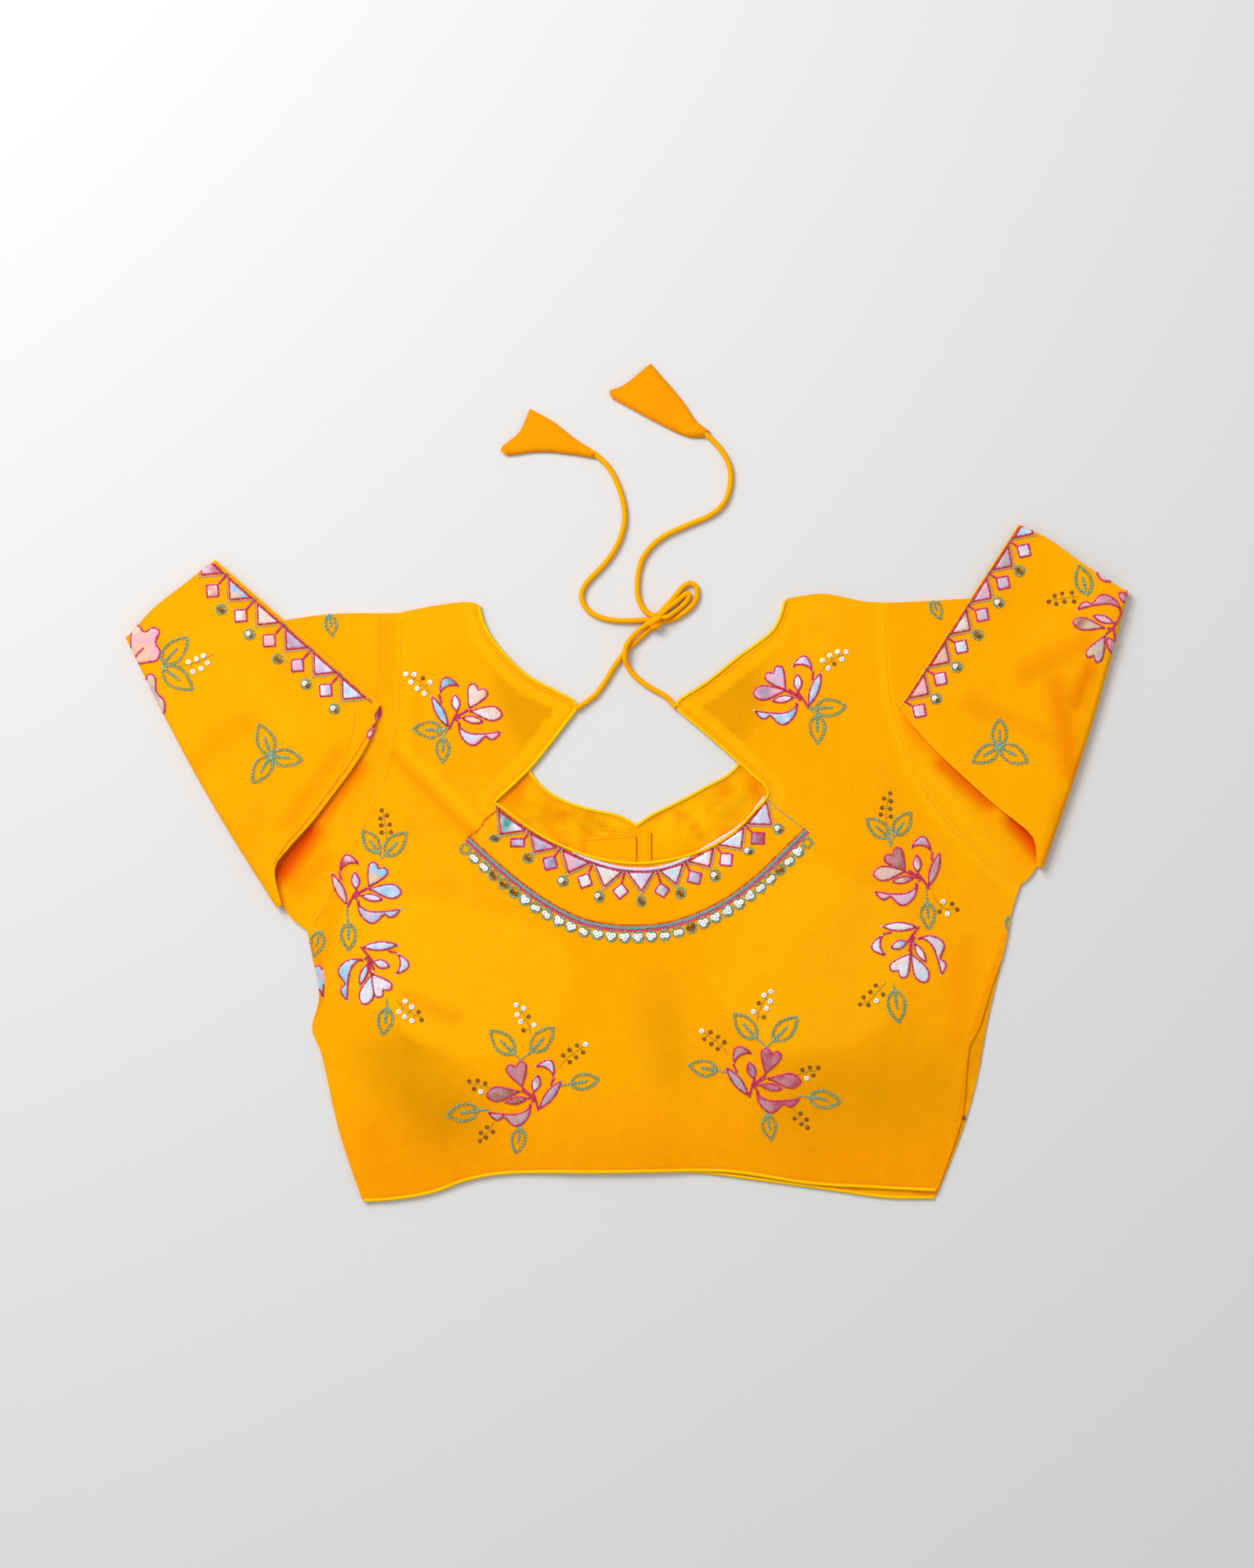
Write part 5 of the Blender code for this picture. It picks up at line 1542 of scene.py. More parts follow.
OTHER_BROWN = (
    (-137.9, 125.0), (140.0, 134.7), (-165.8, 35.8), (-162.2, 32.3), (-166.6, 30.3), (-160.3, 26.2),
    (-166.1, 25.7), (-159.5, 21.1), (-165.8, 20.8), (177.7, 47.3), (178.3, 42.0), (173.7, 43.8),
    (172.3, 37.5), (177.7, 36.8), (171.4, 33.0), (178.3, 31.6), (223.1, -31.4), (211.0, -32.7),
    (219.6, -27.4), (157.2, -95.2), (162.8, -95.5), (-140.7, -100.3), (-138.7, -105.6),
    (167.8, -82.4), (164.2, -86.8), (159.6, -90.3), (172.8, -88.5))
OTHER_SPRAYS = (
    ((-131, 112), (-136.5, 119), (-142.5, 124), (-148, 127)),
    ((130, 128), (134.5, 134), (140.5, 138.5), (147, 141.5)),
    ((-163.2, 10), (-162.6, 18), (-163.6, 27), (-165, 34.5)),
    ((-156, -92), (-151, -97.5), (-145, -101.5), (-139, -104)),
    ((177, 22), (174.8, 30), (175.4, 38), (177, 46)), ((207, -22), (212, -29), (217, -31), (222.5, -30)),
    ((175, -80), (169, -86.5), (164, -92), (158, -95)))

# Sleeve leaves: three about a middle, and those by the folded edges
SLEEVE_LEAVES = (
    (-240.3, 73, -248.2, 94), (-240, 72.5, -219, 69.7), (-240.5, 72, -252.6, 54),
    (251.1, 79, 251.3, 98), (250.8, 78.5, 232.8, 68.2), (251.4, 78.5, 270.6, 68),
    (-313, 134.5, -296.3, 152.6), (-313, 131.8, -292.6, 117.1), (310.5, 181.4, 304.5, 201),
    (-207, -46, -212.5, -63), (257.5, -36, 263.5, -50),
    (-201.5, 168, -198.5, 153.5), (206, 178, 212, 165))
SLEEVE_WHITE = ((-295.7, 135.7), (-290.4, 137.8), (-285.7, 139.9), (-283.0, 135.2), (-287.3, 131.4),
                (-292.8, 129.3))
SLEEVE_BROWN = ((227.9, -172.3), (219.4, -202.5), (284.5, 176.5), (288.5, 180.5), (289.5, 175.0),
                (293.5, 182.0), (295.0, 176.5), (300.0, 182.5),
                (301.5, 176.5))
SLEEVE_SPRAYS = (((-311, 133), (-298, 133.8), (-288, 136.5), (-279, 141.5)),
                 ((305, 180), (299, 179.5), (292, 178.5), (286, 177.5)))


# Machine lines of the placket and the sleeves, then painted shadow lines where cloth is folded under or
# creased, and softer ones by the placket and a tassel
PLACKET_LINES = (
    [(-17.5, 25.2), (-6, 23.8), (2.7, 22.8)], [(-17.0, 22.4), (-6, 21.2), (3, 20.2)], [(6.0, 21), (5.9, 4)],
    [(8.6, 20), (8.5, 4)], [(14.2, 20), (14.3, 3)], [(17.2, 19), (17.4, 3)])
SLEEVE_LINES = (
    [(-183.5, 103), (-184.5, 92), (-191.8, 65.2), (-200.9, 46.6)], [(-169.2, 120), (-168.8, 104), (-171, 88)],
    [(-167.5, 165), (-167.4, 130)])
FOLD_SHADOW_LINES = (
    [(-174.5, 90), (-177.5, 83), (-188, 66), (-203.5, 45), (-216.5, 28), (-230, 12.5), (-238.5, -1)],
    [(-85, 40.5), (-79, 47), (-72.5, 54)])
SOFT_SHADOW_LINES = (
    [(-8, 315.9), (12, 303.5), (33.4, 293.1)], [(-27.4, 15.4), (-10, 16.4), (5.0, 17.6)],
    [(16.9, 20.0), (17.1, 3)])

# Stitches: kind, thread, pitch, length, width, height, unevenness and slant
STITCHES = (
    ("crimson_dash", "crimson_thread", 1.4, 0.95, 1.55, 0.8, 0.25, 0.35),
    ("pink_dash", "crimson_thread", 1.8, 0.9, 1.2, 0.6, 0.25, 0.35),
    ("coral_dash", "coral_thread", 1.8, 1.0, 0.9, 0.4, 0.25, 0.0),
    ("red_dash", "red_thread", 1.6, 1.2, 1.2, 0.8, 0.25, 0.0),
    ("leaf_knot", "teal_gold_thread", 1.15, 1.7, 1.05, 0.65, 0.4, 0.7),
    ("gold_knot", "olive_gold_thread", 1.2, 1.6, 0.85, 0.55, 0.45, -0.7),
    ("grey_thread", "grey_teal_thread", 1.35, 1.45, 0.75, 0.6, 0.25, 0.3),
    ("grey_left", "grey_teal_thread", 1.05, 1.9, 0.6, 0.5, 0.25, 0.75),
    ("grey_right", "grey_teal_thread", 1.05, 1.9, 0.6, 0.5, 0.25, -0.75),
    ("machine_dash", "machine_thread", 2.2, 1.05, 0.42, 0.3, 0.25, 0.0),
)
# Ropes: kind, thread, width and height
ROPES = (
    ("rim_rope", "pink_thread", 1.6, 0.8),
    ("satin_rope", "lavender_satin_thread", 2.6, 0.7),
    ("grey_rope", "grey_teal_thread", 2.3, 0.8),
    ("stem_thread", "olive_thread", 0.5, 0.45),
    # The last two are no thread: thin dark ropes that paint the shade along folds and creases
    ("fold_line", "fold_shade", 0.6, 0.3),
    ("soft_line", "soft_shade", 0.5, 0.2),
)
# Sequins and beads: kind, finish, radius and hole
DISCS = (
    ("white_sequin", "white_film", 1.75, 0.28),
    ("brown_sequin", "brown_film", 1.4, 0.62),
    ("silver_sequin", "silver_film", 1.9, 0.3),
    ("white_bead", "blue_grey_bead", 0.32, 0.03),
    ("brown_bead", "gold_bead", 0.45, 0.05),
)
DISC_THICK = 0.3
DISC_TILT = 0.09


class Drape:
    """Finds the shown face of the cloth under a plan point."""

    def __init__(self, pieces: Sequence[Piece]) -> None:
        """Joins the pieces' faces into one tree."""
        points, faces = [], []
        for piece in pieces:
            start = len(points)
            points += [v.co.copy() for v in piece.data.vertices]
            faces += [tuple(start + v for v in face.vertices) for face in piece.data.polygons]
        self.tree = BVHTree.FromPolygons(points, faces)

    def height(self, x: float, y: float) -> float | None:
        """Gives the face's height in millimetres, or nothing beside the cloth."""
        spot, _, _, _ = self.tree.ray_cast(Vector((x * MM, y * MM, 0.05)), Vector((0, 0, -1)))
        return None if spot is None else spot.z / MM

    def clipped(self, loop: Line) -> list[Plan]:
        """Draws the points of a loop that lie beside the cloth back onto its edge."""
        seen = [self.height(*p) is not None for p in loop]
        kept = [p for p, on in zip(loop, seen) if on]
        if all(seen) or len(kept) < 3:
            return kept
        middle = middle_of(kept)
        made = []
        for p, on in zip(loop, seen):
            low, high = 0.0, 1.0
            for _ in range(0 if on else 9):
                share = (low + high) / 2
                if self.height(*middle.lerp(Vector(p), share)) is None:
                    high = share
                else:
                    low = share
            made.append(p if on else tuple(middle.lerp(Vector(p), max(low - 0.02, 0.0))))
        return [p for k, p in enumerate(made) if math.dist(p, made[k - 1]) > 0.2]

    def lay(self, line: Line, above: float) -> list[Spot]:
        """Lays a plan line on the cloth, a little above it."""
        heights = [(x, y, self.height(x, y)) for x, y in line]
        return [(x, y, z + above) for x, y, z in heights if z is not None]


def petal_shape(kind: str) -> list[Plan]:
    """Draws a petal of unit size from its root, anticlockwise.

    Args:
        kind: The petal's kind in PETALS.

    Returns:
        Points: along 0 to 1, across in widths.
    """
    shares = [k / 14 for k in range(1, 14)]
    if kind == "crescent":
        return ([(0, 0)] + [(a, 0.27 * math.sin(math.pi * a)) for a in shares] + [(1, 0)]
                + [(a, math.sin(math.pi * a) ** 0.75) for a in shares][::-1])
    end = 0.86 if kind == "heart" else 1
    if kind == "leaf":
        side = [(a, 0.5 * math.sin(math.pi * a) ** 0.85) for a in shares]
    elif kind == "drop":
        side = [(a, 0.5 * math.sin(math.pi * a ** 1.9) ** 0.62) for a in (*shares, 0.975)]
    elif kind == "heart":
        side = smooth([(0, 0), (0.3, 0.24), (0.6, 0.43), (0.82, 0.5), (0.97, 0.36), (0.985, 0.17),
                       (end, 0)], 0.09)[1:-1]
    if kind in ("leaf", "drop", "heart"):
        return [(0, 0)] + [(a, -w) for a, w in side] + [(end, 0)] + side[::-1]
    if kind == "clover":
        return smooth([(0, -0.1), (0.06, -0.36), (0.3, -0.48), (0.54, -0.33), (0.83, -0.45), (0.95, -0.21),
                       (0.83, 0.05),
                       (1, 0.23), (0.92, 0.44), (0.68, 0.53), (0.11, 0.5), (-0.03, 0.3), (0, -0.1)],
                       0.06)[:-1]
    lobes = smooth([(0, 0), (0.1, 0.72), (0.28, 1.13), (0.45, 1.22), (0.56, 1.0), (0.64, 0.66)], 0.08)
    lobes += smooth([(0.68, 0.57), (0.78, 0.7), (0.88, 0.6), (0.96, 0.3), (1, 0)], 0.08)
    return smooth([(0, 0), (0.14, 0.34), (0.34, 0.48), (0.65, 0.32), (1, 0)], 0.09) + lobes[1:-1][::-1]


def petal_at(kind: str, x: float, y: float, bearing: float, length: float, width: float) -> list[Plan]:
    """Lays a petal out from its root; a width below zero turns it over."""
    loop = []
    for along, across in petal_shape(kind):
        dx, dy = turned(along * length, across * width, math.radians(bearing))
        loop.append((x + dx, y + dy))
    return anticlockwise(loop)


def on_flower(flower: Flower, x: float, y: float, opens: bool) -> Plan:
    """Places a point of the flower's own plan on the cloth."""
    x, y = turned(x, y, math.radians(flower.opening if opens else 0))
    x, y = turned(-x if flower.mirrored else x, y, math.radians(flower.turn))
    return flower.x + x, flower.y + y


def petal_loop(petal: Petal, flower: Flower) -> list[Plan]:
    """Places a petal's outline on its flower, anticlockwise."""
    plain = petal_at(petal.kind, petal.x, petal.y, petal.bearing, petal.length, petal.width)
    return anticlockwise([on_flower(flower, x, y, petal.opens) for x, y in plain])


def petal_root(petal: Petal, flower: Flower) -> Plan:
    """Gives the plan point where a petal's stem starts; a crescent hangs from its far end."""
    far = petal.length if petal.kind == "crescent" else 0.0
    dx, dy = turned(far, 0.0, math.radians(petal.bearing))
    return on_flower(flower, petal.x + dx, petal.y + dy, petal.opens)


@dataclass
class Needle:
    """Collects lines and points of sewing and of the painted shadow lines, and makes each kind with geometry
    nodes.
    """

    drape: Drape
    lines: dict[str, list[list[Spot]]] = field(default_factory=dict)
    points: dict[str, list[Spot]] = field(default_factory=dict)

    def line(self, kind: str, plan: Line, above: float = 0.3, closed: bool = False,
             ceiling: float = 99.0) -> None:
        """Keeps a line of one kind of stitch, where the cloth is not over the ceiling."""
        run: list[Spot] = []
        for x, y in list(plan) + ([plan[0]] if closed else []):
            laid = [p for p in self.drape.lay([(x, y)], above) if p[2] < ceiling]
            if run and (not laid or abs(laid[0][2] - run[-1][2]) > 1.6):
                self.lines.setdefault(kind, []).extend([run] if len(run) > 1 else [])
                run = []
            run = run + laid
        if len(run) > 1:
            self.lines.setdefault(kind, []).append(run)

    def point(self, kind: str, x: float, y: float, above: float = 0.25) -> None:
        """Keeps the place of one sequin or bead."""
        self.points.setdefault(kind, []).extend(self.drape.lay([(x, y)], above))

    def grow(self, name: str, tree: NodeTree, values: dict[str, object]) -> None:
        """Runs a node tree on the lines or points of one kind and keeps the plain mesh.

        Args:
            name: The piece's name: the kind of its lines, or of its points, and its last word.
            tree: The node tree.
            values: Input values by name.
        """
        kind = name.rpartition("_")[0]
        spots, edges = [], []
        for line in self.lines.get(kind, ()):
            edges += [(len(spots) + k, len(spots) + k + 1) for k in range(len(line) - 1)]
            spots += line
        spots += self.points.get(kind, ())
        data = bpy.data.meshes.new(name)
        data.from_pydata([tuple(c * MM for c in p) for p in spots], edges, [])
        piece = new_object(name, data)
        modifier = piece.modifiers.new("sewing", "NODES")
        modifier.node_group = tree
        for item in tree.interface.items_tree:
            if item.item_type == "SOCKET" and item.in_out == "INPUT" and item.name in values:
                modifier[item.identifier] = values[item.name]
        piece.update_tag()
        bpy.context.view_layer.update()
        seen = piece.evaluated_get(bpy.context.evaluated_depsgraph_get())
        made = bpy.data.meshes.new_from_object(seen)
        piece.modifiers.clear()
        piece.data = made
        bpy.data.meshes.remove(data)
        made.name = name
        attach(piece, "root")
        LOG.info("%s has %d faces", name, len(made.polygons))


class Sewing:
    """The geometry node trees of the sewing."""

    def __init__(self) -> None:
        """Builds each tree once."""
        self.stitch = self.stitch_tree()
        self.sequin = self.sequin_tree()
        self.rope = self.rope_tree()

    @staticmethod
    def start(name: str, numbers: str) -> tuple[Tree, object, object]:
        """Starts a geometry node tree with named number inputs, a seed and a finish."""
        inputs = {"Geometry": "NodeSocketGeometry", **{label: "NodeSocketFloat" for label in numbers.split()},
                  "Seed": "NodeSocketInt", "Finish": "NodeSocketMaterial"}
        return new_group(name, "GeometryNodeTree", inputs, {"Geometry": "NodeSocketGeometry"})

    @staticmethod
    def stored(tree: Tree, instances: object, name: str, value: object) -> Socket:
        """Stores a value with each instance."""
        return tree.node("GeometryNodeStoreNamedAttribute", {"Geometry": instances, "Name": name,
                         "Value": value}, data_type="FLOAT", domain="INSTANCE").outputs[0]

    @staticmethod
    def dress(tree: Tree, shape: object, given: object, out: object) -> None:
        """Smooths the shape, gives it its finish and hands it out."""
        made = tree.node("GeometryNodeSetShadeSmooth", {0: shape}).outputs[0]
        made = tree.node("GeometryNodeSetMaterial", {0: made, "Material": given["Finish"]}).outputs[0]
        tree.link(made, out.inputs[0])

    def finish(self, tree: Tree, instances: object, given: object, out: object) -> None:
        """Stores each instance's own shades, then realizes and dresses them."""
        chance = tree.node("FunctionNodeRandomValue", {"Seed": given["Seed"]}, data_type="FLOAT").outputs[1]
        turn = tree.maths("MODULO", tree.node("GeometryNodeInputIndex").outputs[0], 2.0)
        kept = self.stored(tree, instances, "chance", chance)
        kept = self.stored(tree, kept, "turn", turn)
        self.dress(tree, tree.node("GeometryNodeRealizeInstances", {0: kept}).outputs[0], given, out)

    def stitch_tree(self) -> NodeTree:
        """Sets short stitches along every line."""
        tree, given, out = self.start("stitch_row", "Pitch Length Width Height Uneven Slant")
        curve = tree.node("GeometryNodeMeshToCurve", {0: given["Geometry"]}).outputs[0]
        spaced = tree.node("GeometryNodeResampleCurve", {"Curve": curve, "Length": given["Pitch"]},
                           mode="LENGTH").outputs[0]
        tangent = tree.node("GeometryNodeInputTangent").outputs[0]
        slanted = tree.node("ShaderNodeVectorRotate", {"Vector": tangent, "Angle": given["Slant"]},
                            rotation_type="Z_AXIS").outputs[0]
        turn = tree.node("FunctionNodeAlignRotationToVector", {"Vector": slanted}, axis="X").outputs[0]
        size = tree.node("FunctionNodeRandomValue", {"Seed": given["Seed"]}, data_type="FLOAT")
        spread = tree.maths("MULTIPLY", tree.maths("SUBTRACT", size.outputs[1], 0.5), given["Uneven"])
        share = tree.maths("ADD", spread, 0.5)
        scale = tree.node("ShaderNodeCombineXYZ", {
            k: tree.maths("MULTIPLY", given[label], share)
            for k, label in enumerate(("Length", "Width", "Height"))}).outputs[0]
        lump = tree.node("GeometryNodeMeshUVSphere", {"Segments": 6, "Rings": 4, "Radius": 1.0}).outputs[0]
        made = tree.node("GeometryNodeInstanceOnPoints", {
            "Points": spaced, "Instance": lump, "Rotation": turn, "Scale": scale}).outputs[0]
        self.finish(tree, made, given, out)
        return tree.tree

    def sequin_tree(self) -> NodeTree:
        """Sets a flat ring on every point."""
        tree, given, out = self.start("sequin_scatter", "Radius Hole Thick Tilt")
        middle = tree.maths("MULTIPLY", tree.maths("ADD", given["Radius"], given["Hole"]), 0.5)
        circle = tree.node("GeometryNodeCurvePrimitiveCircle",
                           {"Resolution": 14, "Radius": middle}).outputs[0]
        profile = tree.node("GeometryNodeCurvePrimitiveQuadrilateral", {
            "Width": tree.maths("SUBTRACT", given["Radius"], given["Hole"]),
            "Height": given["Thick"]}).outputs[0]
        ring = tree.node("GeometryNodeCurveToMesh", {0: circle, "Profile Curve": profile}).outputs[0]
        low, high = (tree.node("ShaderNodeVectorMath", {0: (way, way, 30.0 * way), "Scale": given["Tilt"]},
                               operation="SCALE").outputs[0] for way in (-1.0, 1.0))
        tilt = tree.node("FunctionNodeRandomValue", {0: low, 1: high, "Seed": given["Seed"]},
                         data_type="FLOAT_VECTOR").outputs[0]
        made = tree.node("GeometryNodeInstanceOnPoints", {
            "Points": given["Geometry"], "Instance": ring, "Rotation": tilt}).outputs[0]
        self.finish(tree, made, given, out)
        return tree.tree

    def rope_tree(self) -> NodeTree:
        """Sweeps a flattened round thread along every line."""
        tree, given, out = self.start("thread_rope", "Width Height")
        curve = tree.node("GeometryNodeMeshToCurve", {0: given["Geometry"]}).outputs[0]
        curve = tree.node("GeometryNodeSetCurveNormal", {0: curve}, mode="Z_UP").outputs[0]
        circle = tree.node("GeometryNodeCurvePrimitiveCircle", {"Resolution": 8, "Radius": 0.5}).outputs[0]
        size = tree.node("ShaderNodeCombineXYZ", {0: given["Width"], 1: given["Height"], 2: 1.0}).outputs[0]
        profile = tree.node("GeometryNodeTransform", {0: circle, "Scale": size}).outputs[0]
        made = tree.node("GeometryNodeCurveToMesh", {0: curve, "Profile Curve": profile, "Fill Caps": True})
        self.dress(tree, made.outputs[0], given, out)
        return tree.tree


@dataclass(frozen=True)
class ThreadFinish:
    """The finish of a shiny thread, a sequin film or a painted shadow line, in two colours."""

    name: str
    first: Colour
    second: Colour
    roughness: float = 0.42
    metallic: float = 0.0
    by_turn: float = 1.0

    def make(self) -> Finish:
        """Builds the material."""
        made, tree, shader = new_finish(self.name)
        chance, turn = tree.attribute("chance", "Fac"), tree.attribute("turn", "Fac")
        share = tree.maths("ADD", tree.maths("MULTIPLY", turn, self.by_turn),
                           tree.maths("MULTIPLY", tree.maths("SUBTRACT", chance, 0.5), 0.6), True)
        spot = tree.node("ShaderNodeTexCoord").outputs["Object"]
        fibre = tree.stretch(tree.noise(spot, 2600.0, 2.0), 0.3, 0.7, 0.8, 1.1)
        tree.fill(shader, {"Base Color": tree.dimmed(tree.mixed(share, self.first, self.second), fibre),
                           "Roughness": self.roughness, "Metallic": self.metallic})
        return made


THREADS = (
    ThreadFinish("crimson_thread", srgb(190, 8, 66), srgb(142, 4, 48), by_turn=0.3),
    ThreadFinish("red_thread", srgb(236, 40, 22), srgb(200, 20, 30), by_turn=0.3),
    ThreadFinish("pink_thread", srgb(244, 76, 122), srgb(240, 120, 156), by_turn=0.3),
    ThreadFinish("teal_gold_thread", srgb(86, 156, 148), srgb(168, 184, 130)),
    ThreadFinish("grey_teal_thread", srgb(132, 160, 158), srgb(172, 186, 186), by_turn=0.6),
    ThreadFinish("olive_gold_thread", srgb(150, 150, 60), srgb(190, 178, 92), by_turn=0.7),
    ThreadFinish("lavender_satin_thread", srgb(232, 214, 230), srgb(214, 190, 216), 0.35,
                 by_turn=0.5),
    ThreadFinish("coral_thread", srgb(250, 110, 30), srgb(226, 70, 40), by_turn=0.6),
    # Flat colours of the painted shadow lines along folds and creases
    ThreadFinish("fold_shade", srgb(238, 112, 0), srgb(230, 98, 0), 0.9),
    ThreadFinish("soft_shade", srgb(244, 138, 0), srgb(238, 128, 0), 0.9),
    ThreadFinish("olive_thread", srgb(196, 150, 26), srgb(150, 140, 50)),
    ThreadFinish("machine_thread", srgb(220, 126, 0), srgb(204, 108, 0)),
    ThreadFinish("white_film", srgb(255, 255, 255), srgb(246, 248, 252), 0.3),
    ThreadFinish("silver_film", srgb(255, 255, 255), srgb(240, 244, 248), 0.3),
    ThreadFinish("brown_film", srgb(112, 62, 22), srgb(140, 92, 36), 0.3, 0.3),
    ThreadFinish("blue_grey_bead", srgb(120, 150, 180), srgb(90, 120, 150), 0.3),
    ThreadFinish("gold_bead", srgb(200, 150, 60), srgb(170, 120, 40), 0.3, 0.3),
)


@dataclass(frozen=True)
class SatinFinish:
    """Soft printed satin whose colours are stored in the mesh, with a painted sheen over them."""

    name: str = "printed_satin"
    roughness: float = 0.36

    def make(self) -> Finish:
        """Builds the material."""
        made, tree, shader = new_finish(self.name)
        spot = tree.node("ShaderNodeTexCoord").outputs["Object"]
        # Soft patches mixed towards near white: painted sheen of the satin
        painted_sheen = tree.stretch(tree.noise(spot, 260.0, 3.0), 0.3, 0.72)
        colour = tree.mixed(tree.maths("MULTIPLY", painted_sheen, 0.14), tree.attribute("tone_and_shade", "Color"),
                            srgb(250, 244, 250))
        streak = tree.noise(tree.scaled(spot, (1.0, 0.12, 1.0)), 2200.0, 2.0)
        bump = tree.node("ShaderNodeBump", {"Height": tree.noise(spot, 180.0, 2.0), "Strength": 0.5,
                                            "Distance": 0.0006})
        tree.fill(shader, {
            "Base Color": tree.dimmed(colour, tree.stretch(streak, 0.3, 0.7, 0.82, 1.03)),
            "Normal": bump.outputs[0], "Roughness": self.roughness, "Sheen Weight": 0.2})
        return made


@dataclass
class Embroidery:
    """Every satin patch, stitch, knot and sequin on the cloth, and the painted shadow lines along folds and
    creases.
    """

    drape: Drape
    puff: float = 0.75
    rim_inset: float = 0.85
    leaf_share: float = 0.56
    patches: MeshData = field(default_factory=MeshData)

    def __post_init__(self) -> None:
        """Starts the sewing."""
        self.needle = Needle(self.drape)

    def patch(self, loop: Line, first: Satin, second: Satin) -> None:
        """Adds a puffed satin patch with its stitched rim.

        Args:
            loop: Its anticlockwise outline.
            first: Colour at one end.
            second: Colour at the other.
        """
        whole = [p for k, p in enumerate(loop) if math.dist(p, loop[k - 1]) > 0.25]
        loop = self.drape.clipped(whole)
        if len(loop) < 5:
            return
        edge_height = self.drape.height(*loop[0])
        filled = fill_region(loop, [], 1.25)
        points = np.array(filled.points)
        edges = np.array([(*a, *b) for a, b in sides_of(loop)])
        rise = np.clip((distances(points, edges) - 0.7) / 1.9, 0, 1)
        middle = points.mean(axis=0)
        spread = max(float(np.abs(points - middle).max()), 1.0)
        a, b = np.array(first.value), np.array(second.value)

        def at(k: int, x: float, y: float) -> tuple[float, float, Colour]:
            """Gives a point's heights and its tint."""
            ground = self.drape.height(x, y)
            ground = edge_height if ground is None else ground
            wave = noise.noise(Vector((x / 7, y / 7, 2.0)))
            share = 0.5 + 0.45 * (x - middle[0] + 0.6 * (y - middle[1])) / spread + 0.9 * wave
            dome = self.puff * math.sqrt(1 - (1 - rise[k]) ** 2)
            return ground + 0.28 + dome, ground - 0.12, tuple(a + (b - a) * ramp(share))

        self.patches.plate(filled, len(loop), at)
        inset = inset_loop(whole, [self.rim_inset] * len(whole))
        seam = [p if signed_away(*p, whole) > 0.45 else tuple(Vector(q).lerp(middle_of(whole), 0.07))
                for p, q in zip(inset, whole)]
        self.stitched(seam, closed=True)

    def stitched(self, line: Line, low: float = ROPE_LIFT, high: float = DASH_LIFT,
                 closed: bool = False) -> None:
        """Lays a rope and the dashes over it along a line."""
        self.needle.line("rim_rope", line, low, closed)
        self.needle.line("crimson_dash", line, high, closed)

    def leaf(self, x0: float, y0: float, x1: float, y1: float) -> None:
        """Outlines a leaf with knots, with a short midrib."""
        length = math.hypot(x1 - x0, y1 - y0)
        angle = math.atan2(y1 - y0, x1 - x0)
        side = [(length * a, 0.5 * self.leaf_share * length * math.sin(math.pi * a ** 0.8) ** 0.8)
                for a in (k / 16 for k in range(1, 16))]
        loop = [(0.0, 0.0)] + [(a, -w) for a, w in side] + [(length, 0.0)] + side[::-1]

        def put(points: Line) -> list[Plan]:
            """Places points of the leaf's own plan."""
            spots = [turned(a, w, angle) for a, w in points]
            return [(x0 + x, y0 + y) for x, y in spots]

        placed = put(loop)
        self.needle.line("leaf_knot", placed, ROPE_LIFT, True)
        inner = inset_loop(placed, [1.15] * len(placed))
        self.needle.line("gold_knot", [p for p in inner if signed_away(*p, placed) > 0.8], 0.3, True)
        for shift in (-0.7, 0.7):
            self.needle.line("leaf_knot", put([(length * a, shift * (1 - a)) for a in (0.0, 0.2, 0.4, 0.55)]),
                             ROPE_LIFT)

    def spray(self, stem: Line, sequins: Line) -> None:
        """Draws a thread stem, and a twig from it to each sequin that is near."""
        line = smooth(stem, STEM_STEP)
        self.needle.line("stem_thread", line, THREAD_LIFT)
        for x, y in sequins:
            near = min(line, key=lambda p: math.hypot(p[0] - x, p[1] - y))
            if 1.0 < math.hypot(near[0] - x, near[1] - y) < 7.0:
                twig = [near, ((near[0] + x) / 2, (near[1] + y) / 2), (x, y)]
                self.needle.line("stem_thread", twig, THREAD_LIFT)

    def flowers(self) -> None:
        """Sews the eight flowers of the back."""
        for flower in FLOWERS:
            for petal, end, (first, second) in zip(
                    PETALS, STEM_ENDS, satin_pairs(PETAL_SATINS[flower.name])):
                self.patch(petal_loop(petal, flower), first, second)
                ends = [petal_root(petal, flower), on_flower(flower, *end, petal.opens)]
                self.stitched(smooth(ends, STEM_STEP))
        for *place, satins in LONE_PETALS:
            self.patch(petal_at(*place), *satin_pairs(satins)[0])
        for end in LONE_STEM_ENDS:
            self.stitched(smooth([LONE_MIDDLE, end], SHORT_STEP))
        self.stitched(smooth(CLOVER_STEM, SHORT_STEP), CLOVER_ROPE_LIFT, CLOVER_DASH_LIFT)
        whites, browns = list(OTHER_WHITE), list(OTHER_BROWN)
        for flower in FLOWERS[:2]:
            way = -1 if flower.mirrored else 1

            def put(x: float, y: float, flower: Flower = flower, way: int = way) -> Plan:
                """Places a point of the low left flower on this one."""
                return flower.x + way * x, flower.y + y

